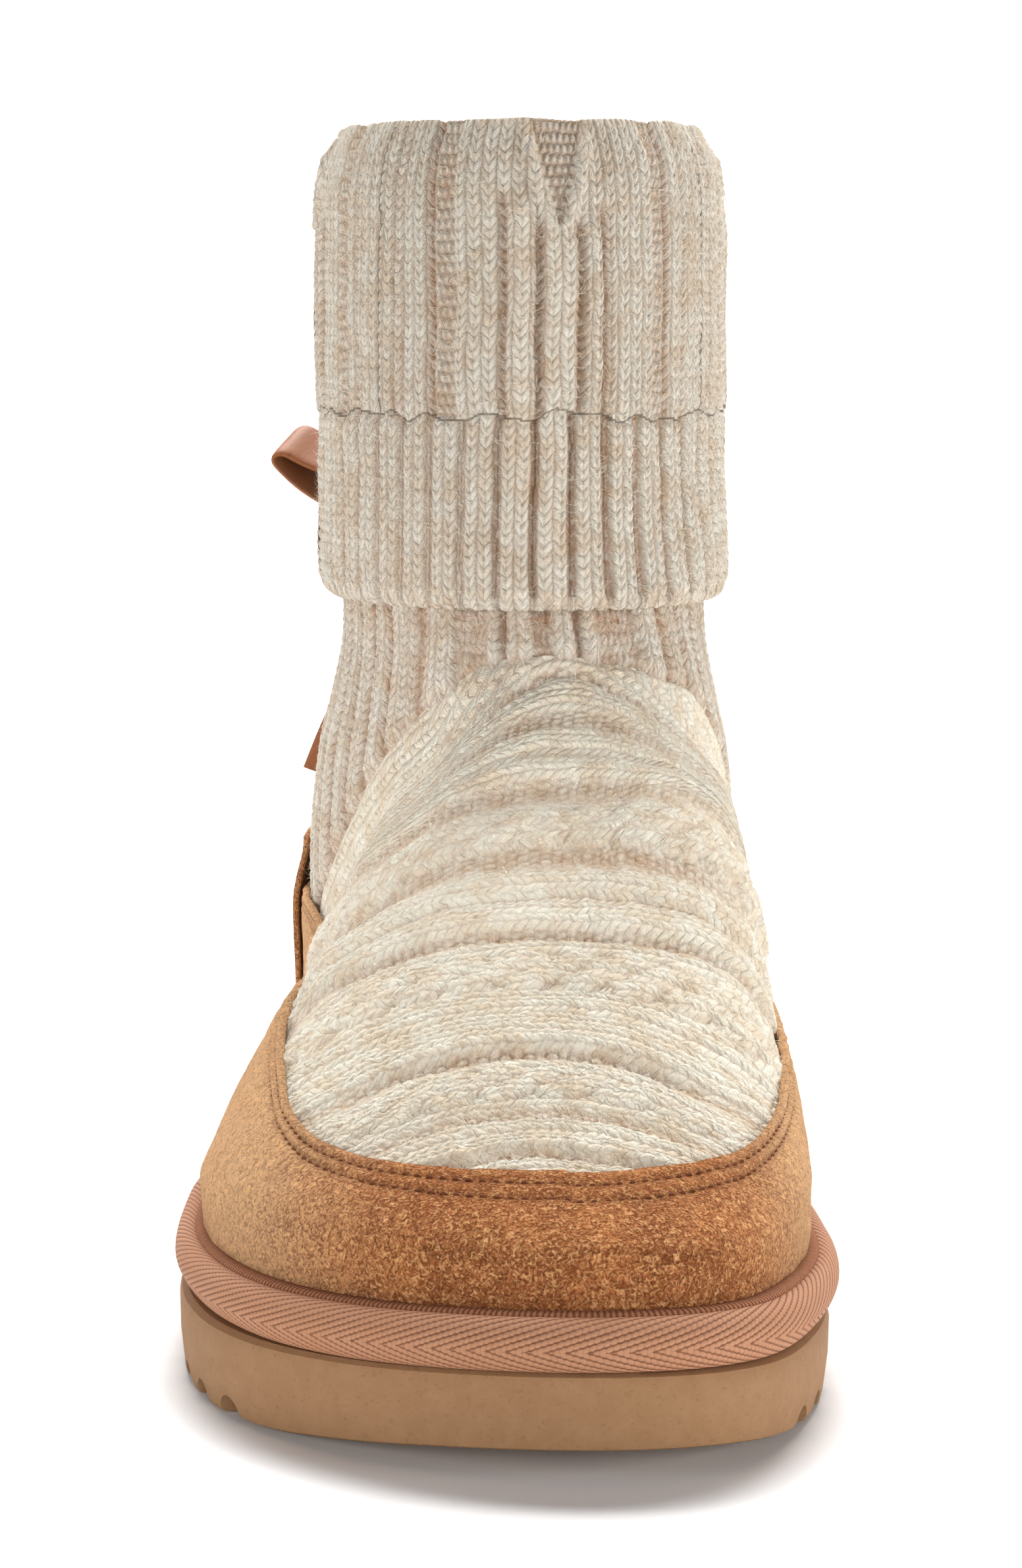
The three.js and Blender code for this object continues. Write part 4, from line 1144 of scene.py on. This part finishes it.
relief = (relief - 0.3) * (1 - in_cuff) - 1.6 * under_vamp - 0.6 * in_cuff
shaft_points = shaft + shaft_normal * relief[..., None]
shaft_points[:, -1] = shaft_points[:, 0]
fuzz_roots.append((shaft_points, shaft_normal))
# painted shade: darker under the vamp's edge and just below the cuff's hem
deep = np.clip(deep + 0.4 * under_vamp + 0.25 * ease(HEM_Z - 6, HEM_Z - 1, shaft[..., 2]), 0, 1)
quarters = lay_grid("shaft_and_quarters", shaft_points, shaft_uv, True, recess=deep, purl=purl)
wear(quarters, CUFF_WOOL, "knit", "knit_upper")

# %% [markdown]
# ## Inside: lining and insole
# Looking down the shaft one sees the back of the knit and a plush footbed. The lining is the same last,
# one wall thickness in. The footbed starts as a copy of its solid, is remeshed to even small faces, and
# its pile is pushed up in soft tufts. Hair would give longer pile, but a mesh is what the model keeps.

# %% Lining
LINING_COLUMNS, LINING_ROWS = 181, 61
LINING_TOP, LINING_FOOT = 194.0, 22.0
lining_turn = np.linspace(np.pi, -np.pi, LINING_COLUMNS)[None]
lining_z = np.linspace(LINING_FOOT, LINING_TOP, LINING_ROWS)[:, None]
lining = around(lining_turn, lining_z)
lining = lining + WALL * ring_normals(lining)
lining_s = lining_turn * CUFF_ROUND / (2 * np.pi)
lining = lining + ring_normals(lining) * (0.3 * waver(lining_s / 5, lining_z / 5, 20))[..., None]
lining[:, -1] = lining[:, 0]
lining_uv = (lining_s / WALE, lining_z / COURSE)
# a little painted shade over the whole lining
wear(lay_grid("lining", lining, lining_uv, True, recess=0.1, purl=1.0), LINING_WOOL, "knit", "knit_upper")

# %% Plush insole
PILE_VOXEL = 1.7 * MM
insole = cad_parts["insole"].copy()
insole.data = insole.data.copy()
insole.name = "plush_insole"
bpy.context.scene.collection.objects.link(insole)
apply_modifier(insole, "REMESH", mode="VOXEL", voxel_size=PILE_VOXEL)
at = np.zeros(len(insole.data.vertices) * 3)
insole.data.vertices.foreach_get("co", at)
at = at.reshape(-1, 3) / MM
tuft = waver(at[:, 0] / 5, at[:, 1] / 5, 8) + 0.7 * waver(at[:, 0] / 2.4, at[:, 1] / 2.4, 9)
top_side = ease(2.5, 4.5, at[:, 2] - read(PROFILE, TOP, at[:, 1]))
at[:, 2] += top_side * 0.55 * tuft
insole.data.vertices.foreach_set("co", (at * MM).ravel())
# painted shade: darker where the pile dips between tufts
insole.data.attributes.new("recess", "FLOAT", "POINT").data.foreach_set("value", np.clip(-0.4 * tuft, 0, 1))
insole.data.shade_smooth()
wear(insole, PLUSH, "plush", "insole")

# %% [markdown]
# ## Suede foxing and heel counter
# A band of suede wraps the foot from the sole to a sewn upper edge, and a second piece covers the heel.
# The band is a grid round the last: its rows go up the face, over the cut edge and a little way behind it.
# A thickened copy of the solid could do, but the rolled edge and the two sewing lines, which pull narrow
# grooves into it, need rows of their own. The heel piece lies over the band and hugs the leg at its top.

# %% Even places round the foot
FOOT_POINTS = 2881
fine_round = np.linspace(-np.pi, np.pi, FOOT_POINTS)
foot_outline = around(fine_round, 0.0, plan_field(UPPER_INSET))
foot_run = runs(foot_outline[None], 1)[0]
FOOT_ROUND = float(foot_run[-1])
foot_run = foot_run - np.interp(0, fine_round, foot_run)


def foot_place(count):
    """Evenly shared places round the foot: angle, length from the toe, and y of the outline there."""
    run = np.linspace(foot_run[0], foot_run[-1], count)
    return np.interp(run, foot_run, fine_round), run, np.interp(run, foot_run, foot_outline[:, 1])


print("round the foot:", round(FOOT_ROUND, 1))

# %% Suede band
FOXING_BASE = 1.6
SEW_LINES = (1.3, 2.7)
# distance below the upper edge, distance out from the knit
EDGE_ROLL = np.array([
    (2.5, 0.3), (0.7, 0.4), (0.05, 0.8), (0, 1.3), (0.2, 1.8), (0.6, 2.1), (1, 2), (1.3, 1.7), (1.6, 2),
    (2, 2.2), (2.4, 2), (2.7, 1.7), (3, 2), (3.6, 2.2)])
FACE_OUT, FACE_BULGE = 2.2, 0.8
FACE_ROWS = 34
FOXING_COLUMNS = 721
# lengths from the toe between which the sewing sinks in, and painted light makes the suede paler towards the
# sides
SEWING_FRONT, SEWING_SIDE = 45.0, 75.0
PALE_FRONT, PALE_SIDE = 22.0, 68.0


angle, run, edge_y = foot_place(FOXING_COLUMNS)
edge = foxing_edge(angle, edge_y)
base = read(PROFILE, TOP, edge_y) + FOXING_BASE
roll_drop = EDGE_ROLL[:, 0]
face_share = np.linspace(0, 1, FACE_ROWS)[1:, None]
face_drop = roll_drop[-1] + face_share * (edge - base - roll_drop[-1])
drop = np.concatenate([np.repeat(roll_drop[:, None], FOXING_COLUMNS, 1), face_drop])[::-1]
out = np.concatenate([EDGE_ROLL[:, 1], FACE_OUT + FACE_BULGE * ease(0.1, 0.8, face_share[:, 0])])[::-1]
skin = around(angle[None], edge - drop)
skin_normal = ring_normals(around(angle[None], edge + np.array([[-1.0], [0], [1]])))[[1]]
pucker = 0.18 * waver(run / 7, drop / 4, 10) + 0.12 * waver(run / 2.6, drop / 3, 11)
face = skin + skin_normal * (out[:, None] + pucker)[..., None]
face[:, -1] = face[:, 0]
sewn = sum(groove(drop, line, 0.4) for line in SEW_LINES)
toward_sides = ease(SEWING_FRONT, SEWING_SIDE, np.abs(run))
shadow = np.clip(0.5 * sewn * (1 - 0.7 * toward_sides) + ease(-0.2, -1.0, out[:, None] - 1.2), 0, 1)
# painted light: the band grows paler towards the sides, where the nap catches the light
paler = (0.15 + 0.85 * ease(PALE_FRONT, PALE_SIDE, np.abs(run))) * np.ones_like(drop)
foxing = lay_grid("suede_band", face, (run, drop), True, recess=shadow, paler=paler)
wear(foxing, SUEDE, "suede", "suede_foxing")

# %% Heel counter: a panel laid over the back of the band
COUNTER_BASE, COUNTER_TOP, COUNTER_FALL = 33.0, 74.0, 9.0
COUNTER_SEAT, COUNTER_THICK = 2.8, 1.2
COUNTER_TALL, COUNTER_HUG = 48.0, 2.2
COUNTER_SEWING = 2.6
COUNTER_REACH = 7 / 64
COUNTER_COLUMNS, COUNTER_ROWS = 81, 37
side = np.linspace(-1, 1, COUNTER_COLUMNS)[None]
counter_run = FOOT_ROUND * (0.5 + COUNTER_REACH * side)
counter_turn = np.interp(counter_run, np.concatenate([foot_run, foot_run[1:] + FOOT_ROUND]),
                         np.concatenate([fine_round, fine_round[1:] + 2 * np.pi]))
counter_top = COUNTER_TOP - COUNTER_FALL * np.abs(side) ** 1.4
up = np.linspace(0, 1, COUNTER_ROWS)[:, None]
counter = around(counter_turn, COUNTER_BASE + up * (counter_top - COUNTER_BASE))
counter_normal = grid_normals(counter)
stand_off = COUNTER_SEAT + COUNTER_THICK + 0.4 * side ** 4 + 0.15 * waver(counter_run / 6, up * 9, 12)
edge_near = np.minimum((1 - np.abs(side)) * FOOT_ROUND * COUNTER_REACH, (1 - up) * COUNTER_TALL)
stand_off = stand_off - 0.3 * groove(edge_near, COUNTER_SEWING, 0.5) - COUNTER_HUG * ease(0.55, 1.0, up)
counter = counter + counter_normal * stand_off[..., None]
counter_uv = (counter_run, up * COUNTER_TALL)
# painted shade along the groove that the sewing pulls in
sewing_shade = 0.4 * groove(edge_near, COUNTER_SEWING, 0.6)
# the heel piece gets half the painted light of the band's sides
heel_piece = lay_grid("heel_counter_suede", counter, counter_uv, recess=sewing_shade, paler=0.5)
apply_modifier(heel_piece, "SOLIDIFY", thickness=COUNTER_THICK * MM, offset=-1.0)
apply_modifier(heel_piece, "BEVEL", width=0.4 * MM, segments=2, limit_method="ANGLE")
wear(heel_piece, SUEDE, "suede", "heel_counter")


# %% Sewing thread: one bent stitch, repeated along a line
STITCH_LENGTH, STITCH_PITCH, STITCH_RADIUS = 1.35, 2.1, 0.27
STITCH_RINGS, STITCH_SIDES = 4, 5
THREAD_OUT, THREAD_SINK = 1.8, 0.4


def sew(name, line, normal):
    """Short thread stitches along a line of points, each with its ends sunk in."""
    length = runs(line[None], 1)[0]
    count = int(length[-1] / STITCH_PITCH)
    middle = (np.arange(count) + 0.5) * STITCH_PITCH
    share = np.linspace(-1, 1, STITCH_RINGS)
    along = middle[:, None] + share * STITCH_LENGTH / 2
    at = np.stack([np.interp(along, length, line[:, k]) for k in range(3)], -1)
    up = unit(np.stack([np.interp(along, length, normal[:, k]) for k in range(3)], -1))
    way = unit(np.gradient(at, axis=1))
    across = unit(np.cross(way, up))
    radius = (STITCH_RADIUS * np.sqrt(1 - 0.8 * share ** 2))[None, :, None, None]
    lift = (0.15 - 0.4 * share ** 2)[None, :, None]
    turn = np.linspace(0, 2 * np.pi, STITCH_SIDES, endpoint=False)[None, None, :, None]
    ring = at[:, :, None] + up[:, :, None] * lift[..., None]
    ring = ring + radius * (across[:, :, None] * np.cos(turn) + up[:, :, None] * np.sin(turn))
    faces = []
    for stitch in range(count):
        first = stitch * STITCH_RINGS * STITCH_SIDES
        for r in range(STITCH_RINGS - 1):
            low = first + r * STITCH_SIDES
            for k in range(STITCH_SIDES):
                j = (k + 1) % STITCH_SIDES
                faces.append((low + k, low + j, low + STITCH_SIDES + j, low + STITCH_SIDES + k))
        faces.append(tuple(range(first + STITCH_SIDES - 1, first - 1, -1)))
        end = first + (STITCH_RINGS - 1) * STITCH_SIDES
        faces.append(tuple(range(end, end + STITCH_SIDES)))
    mesh = bpy.data.meshes.new(name)
    mesh.from_pydata((ring.reshape(-1, 3) * MM).tolist(), [], faces)
    mesh.update()
    mesh.shade_smooth()
    piece = bpy.data.objects.new(name, mesh)
    bpy.context.scene.collection.objects.link(piece)
    return wear(piece, THREAD, "suede")


for number, below in enumerate(SEW_LINES, 1):
    rows = around(angle[None], edge - below + np.array([[-1.0], [0], [1]]))
    line_normal = ring_normals(rows)[1]
    thread_out = THREAD_OUT - THREAD_SINK * toward_sides[:, None]
    sew(f"band_stitches_{number}", rows[1] + thread_out * line_normal, line_normal)

# %% [markdown]
# ## Binding, ribbed strip and sole
# A cord wrapped in herringbone tape hides the joint of upper and sole, and a narrow ribbed strip shows
# between it and the suede. Both are one section carried round the foot. A curve with a bevel would do
# this on a flat route, but here the section stays upright while the sole's edge rises. The sole is a thick
# foam slab: rings up its side, closed above and below, with half-round scallops cut into its lower edges.

# %% Binding
# distance out from the knit, height above the sole's edge
BINDING = np.array([
    (3, 0.5), (5.4, 0.3), (6.9, 1.6), (7.5, 4.2), (6.7, 6.8), (5, 8.2), (3.1, 7.6), (2.7, 4), (3, 0.5)])
BINDING_ROWS = 33
TAPE_COLUMNS = 601


def carry_round(section, columns):
    """Carries a section round the foot, level with the sole's edge at each place."""
    angle, run, edge_y = foot_place(columns)
    shell = around(angle[None], read(PROFILE, TOP, edge_y) + section[:, [1]])
    wall = around(angle[None], read(PROFILE, TOP, edge_y) + np.array([[3.0], [4], [5]]))
    shell = shell + section[:, [0], None] * ring_normals(wall, level=True)[[1]]
    shell[..., 2] = read(PROFILE, TOP, shell[..., 1]) + section[:, [1]]
    shell[:, -1] = shell[:, 0]
    return shell, run


section = refine(BINDING, BINDING_ROWS, 0)
binding, run = carry_round(section, TAPE_COLUMNS)
across = runs(section[None], 1)[0][:, None]
wear(lay_grid("binding_tape", binding, (run, across), True), TAPE, "tape", "binding")

# %% Ribbed strip
# distance out from the knit, height above the sole's edge
STRIP = np.array([(2.4, 6), (3.5, 6.8), (3.8, 7.8), (3.4, 8.6), (2.2, 8.9), (0.6, 8.7)])
STRIP_ROWS = 11
strip, run = carry_round(refine(STRIP, STRIP_ROWS, 0), TAPE_COLUMNS)
strip_uv = (run, runs(STRIP[None], 1)[0][-1] * np.linspace(0, 1, STRIP_ROWS)[:, None])
wear(lay_grid("ribbed_strip", strip, strip_uv, True), RIBBED, "tape")

# %% Outsole
# height as a share of the sole's thickness, distance inside the outline
SOLE_SIDE = np.array([
    (0, 1.7), (0.02, 1.2), (0.08, 0.9), (0.5, 0.3), (0.86, 0.2), (0.95, 0.6), (1, 1.5)])
SOLE_COLUMNS = 481
SOLE_HALFWAY = 10.0
LUG_RADIUS, LUG_PITCH = 3.1, 11.0
LUG_FIRST, LUG_LAST = -97.0, 123.0
LUG_REACH, LUG_OVER = 13.0, 4.0
TREAD_DEPTH, TREAD_HALF = 1.2, 1.7
LUG_PLACES = np.arange(LUG_FIRST, LUG_LAST + 1, LUG_PITCH)
INWARD = np.linspace(0.86, 0.02, 15)
angle, run, edge_y = foot_place(SOLE_COLUMNS)


def sole_ring(share, inset, inward=0.0):
    """One ring of the sole, drawn in towards its middle line by a share."""
    ring = around(angle, 0.0, plan_field(inset, SOLE_SHIFT))
    middle = read(PLAN, CENTRE, ring[:, 1]) + SOLE_SHIFT
    ring[:, 0] = middle + (ring[:, 0] - middle) * (1 - inward)
    under, top = read(PROFILE, UNDER, ring[:, 1]), read(PROFILE, TOP, ring[:, 1])
    ring[:, 2] = under + share * (top - under)
    if share == 0 and inward > 0.05:
        ring[:, 2] += TREAD_DEPTH * sum(groove(ring[:, 1], at, TREAD_HALF) for at in LUG_PLACES)
    ring[-1] = ring[0]
    return ring


below = [sole_ring(0, SOLE_SIDE[0, 1], inward) for inward in INWARD]
beside = [sole_ring(share, inset) for share, inset in SOLE_SIDE]
above = [sole_ring(1, SOLE_SIDE[-1, 1], inward) for inward in INWARD[::-4]]
sole = lay_grid("foam_sole", np.array(below + beside + above), wrap=True)
for upper_side in (False, True):
    select_edges(sole, lambda at: False)
    bpy.ops.mesh.select_non_manifold()
    bpy.ops.object.mode_set(mode="OBJECT")
    for rim_edge in sole.data.edges:
        if (sole.data.vertices[rim_edge.vertices[0]].co.z > SOLE_HALFWAY * MM) != upper_side:
            rim_edge.select = False
    bpy.ops.object.mode_set(mode="EDIT")
    bpy.ops.mesh.edge_face_add()
    bpy.ops.object.mode_set(mode="OBJECT")
print("sole faces:", len(sole.data.polygons))

# %% Scallops along both lower edges, with one more at the medial toe
FOAM_CREASE = 32
MEDIAL_PLACES = np.append(LUG_FIRST - LUG_PITCH, LUG_PLACES)
bpy.ops.object.select_all(action="DESELECT")
cutters = []
for hand, places in ((-1, LUG_PLACES), (1, MEDIAL_PLACES)):
    for place in places:
        rim = read(PLAN, CENTRE, place) + SOLE_SHIFT + hand * plan_half(place, 0.0)
        at = (rim - hand * (LUG_REACH - LUG_OVER) / 2, place, read(PROFILE, UNDER, place))
        bpy.ops.mesh.primitive_cylinder_add(
            vertices=32, radius=LUG_RADIUS * MM, depth=(LUG_REACH + LUG_OVER) * MM,
            location=[float(v) * MM for v in at], rotation=(0, radians(90), 0))
        cutters.append(bpy.context.object)
for cutter in cutters:
    cutter.select_set(True)
bpy.ops.object.join()
scallops = bpy.context.object
apply_modifier(sole, "BOOLEAN", operation="DIFFERENCE", object=scallops, solver="EXACT")
bpy.data.objects.remove(scallops)
bpy.ops.object.select_all(action="DESELECT")
sole.select_set(True)
bpy.ops.object.shade_smooth_by_angle(angle=radians(FOAM_CREASE))
wear(sole, FOAM, "foam", "outsole")

# %% [markdown]
# ## The leather bow
# A flat leather ribbon is tied at the back of the cuff: two loops, two tails and a wrapped knot. A ribbon
# is a flat section swept along a route. Each row of a route gives the ribbon's middle and the way its
# width points, because a flat strip twists as it turns. Cloth simulation could tie it, but one chosen form
# is wanted, so it is swept. The hidden medial half mirrors the lateral one.

# %% Routes from the knot: out, back, up, width, and the width's direction: inward, back, rise
KNOT_X, KNOT_Z = 3.5, 124.0
KNOT_WIDE, KNOT_TALL, KNOT_DEEP = 10.0, 13.0, 9.5
KNOT_SEAT, KNOT_GAP = 4.5, 0.3
RIBBON_THICK = 1.5
LOOP = np.array([
    (5.4, 4.9, 2.9, 8.4, 0, 1, 0.1), (13, 5.4, 5.1, 10, 0.1, 0.95, 0.2),
    (25, 5.4, 8.4, 11.4, 0.25, 0.85, 0.35), (35.6, 5, 13.2, 11.5, 0.4, 0.78, 0.48),
    (40.4, 4.8, 15.6, 11.5, 0.45, 0.75, 0.48), (42.4, 4.7, 14.7, 11.5, 0.45, 0.75, 0.48),
    (41, 4.7, 12.4, 11.5, 0.45, 0.75, 0.48), (35.4, 4.9, 7.4, 11.5, 0.4, 0.78, 0.46),
    (25, 5.2, 0.6, 11.2, 0.2, 0.9, 0.3), (13, 5.4, -2.6, 10, 0.1, 0.95, 0.15),
    (5.4, 4.9, -2.6, 8.4, 0, 1, 0.1)])
TAIL = np.array([
    (2.6, 1.6, -7.6, 9, 0.75, 0, -0.66), (9, 1.2, -12.6, 10.5, 0.68, 0, -0.73),
    (17.8, 0.8, -20.5, 11.4, 0.8, 0, -0.6), (23.9, 0.8, -31, 11.5, 0.92, 0, -0.39),
    (29.5, 1.2, -42, 11.5, 0.94, 0, -0.34), (33.8, 2, -52.4, 11.5, 0.945, 0, -0.33)])
MEDIAL_SHARE = 0.97
MEDIAL_TAIL_BACK = 2.1
back_of_cuff = around(np.pi, KNOT_Z)
knot_seat = float((back_of_cuff + KNOT_SEAT * level_normal(back_of_cuff))[1]) + KNOT_GAP
print("knot seat:", round(knot_seat, 2))


# %% Sweep the ribbon
RIBBON_STEPS, RIBBON_SIDES = 61, 24
LEATHER_CREASE = 50
LOOP_INNER_SHADE = 0.75


def ribbon(name, route, hand, seat, node, share=1.0):
    """A flat strip with rounded edges; a loop's inner face is marked for painted shade."""
    fine = refine(route, RIBBON_STEPS, 0)
    middle = np.stack([KNOT_X + hand * share * fine[:, 0], seat + fine[:, 1], KNOT_Z + fine[:, 2]], -1)
    along = unit(np.gradient(middle, axis=0))
    across = unit(np.stack([-hand * fine[:, 4], fine[:, 5], fine[:, 6]], -1))
    through = unit(np.cross(along, across))
    turn = np.linspace(0, 2 * np.pi, RIBBON_SIDES + 1)
    wide = np.sign(np.cos(turn)) * np.abs(np.cos(turn)) ** 0.35
    thick = np.sign(np.sin(turn)) * np.abs(np.sin(turn)) ** 0.6
    swept = middle[:, None] + across[:, None] * (wide[:, None] * fine[:, None, [3]] / 2)
    swept = swept + through[:, None] * (thick[:, None] * RIBBON_THICK / 2)
    swept[:, -1] = swept[:, 0]
    # painted shade on the inner face of each loop
    inner_shade = ease(0.1, 0.5, -hand * thick)[None] * (LOOP_INNER_SHADE if route is LOOP else 0.0)
    piece = lay_grid(name, swept[:, ::hand], None, True, recess=inner_shade[:, ::hand])
    close_ends(LEATHER_CREASE)
    return wear(piece, LEATHER, "ribbon_leather", node)


ribbon("bow_loop_1", LOOP, -1, knot_seat, "bow_loop_lateral")
ribbon("bow_loop_2", LOOP, 1, knot_seat, "bow_loop_medial", MEDIAL_SHARE)
ribbon("bow_tail_1", TAIL, -1, knot_seat, "bow_tail_lateral")
ribbon("bow_tail_2", TAIL, 1, knot_seat + MEDIAL_TAIL_BACK, "bow_tail_medial")

# %% The knot: a band wrapped round the middle, pinched at its sides
KNOT_ROUND, KNOT_ACROSS = 73, 25
turn_round = np.linspace(0, 2 * np.pi, KNOT_ROUND)[None]
over = np.linspace(-1, 1, KNOT_ACROSS)[:, None]
swell = np.sqrt(1 - 0.55 * over ** 4) * (1 + 0.04 * np.cos(3 * np.pi * over))
lap = 0.35 * ease(0.2, 0.5, np.sin(turn_round + 1.2)) * np.cos(np.pi * over * 0.5)
sine, cosine = np.sin(turn_round), np.cos(turn_round)
deep_half = KNOT_DEEP / 2 * swell + lap - 0.4
tall_half = KNOT_TALL / 2 * swell + lap - 0.4
knot = np.stack(np.broadcast_arrays(
    KNOT_X + over * KNOT_WIDE / 2,
    knot_seat + KNOT_DEEP / 2 + deep_half * np.sign(sine) * np.abs(sine) ** 0.7,
    KNOT_Z + tall_half * np.sign(cosine) * np.abs(cosine) ** 0.7), -1)
knot[:, -1] = knot[:, 0]
# painted shade in the pinched sides of the knot
pinch_shade = 0.4 * ease(0.8, 1.0, np.abs(over))
knot_piece = lay_grid("bow_wrap", knot, None, True, recess=pinch_shade)
close_ends(LEATHER_CREASE)
wear(knot_piece, LEATHER, "ribbon_leather", "bow_knot")

# %% [markdown]
# ## Fuzz
# Wool is hairy: single fibres leave the yarn and catch the light, most of all at the outline. Each is a
# thin bent strip of three faces, rooted at a random point of the knit, and all are joined in one mesh. A
# hair system could grow them too, but a mesh is kept as it is. A fixed seed gives the same on every run.

# %% Loose fibres
FIBRES_PER_SKIN = (9000, 3000, 9000, 4000)
FIBRE_WIDTH, FIBRE_CURL = 0.06, 0.35
FIBRE_LENGTHS = (0.9, 2.6)
FIBRE_LIFTS = (0.15, 0.7)
draw = np.random.default_rng(11)


def grow(points, normal, count):
    """Corner points of bent strips rooted at random places of a grid."""
    pick = draw.integers(0, points.shape[0] * points.shape[1], count)
    root = points.reshape(-1, 3)[pick]
    up = normal.reshape(-1, 3)[pick]
    aside = unit(np.cross(up, unit(draw.normal(size=(count, 3)))))
    length = draw.uniform(*FIBRE_LENGTHS, (count, 1))
    lift = draw.uniform(*FIBRE_LIFTS, (count, 1))
    curl = unit(np.cross(up, aside)) * draw.normal(0, FIBRE_CURL, (count, 1))
    share = np.array([0, 0.35, 0.7, 1.0])[None, :, None]
    rise = np.stack([-0.2 + 0 * lift, 0.5 * lift, 0.9 * lift, lift], 1)
    reach = aside[:, None] * share + curl[:, None] * share ** 2 + up[:, None] * rise
    line = root[:, None] + length[:, None] * reach
    half = np.cross(aside, up)[:, None] * FIBRE_WIDTH / 2 * np.array([1, 0.9, 0.7, 0.2])[None, :, None]
    return np.stack([line - half, line + half], 2).reshape(-1, 3)


strips = np.concatenate([grow(*skin, count) for skin, count in zip(fuzz_roots, FIBRES_PER_SKIN)])
starts = np.arange(0, len(strips), 8)[:, None]
quads = np.concatenate([starts + np.array([k, k + 1, k + 3, k + 2]) for k in (0, 2, 4)])
fuzz_mesh = bpy.data.meshes.new("wool_fuzz")
fuzz_mesh.from_pydata((strips * MM).tolist(), [], quads.tolist())
fuzz_mesh.update()
fuzz_mesh.shade_smooth()
fuzz = bpy.data.objects.new("wool_fuzz", fuzz_mesh)
bpy.context.scene.collection.objects.link(fuzz)
wear(fuzz, FUZZ, "knit")
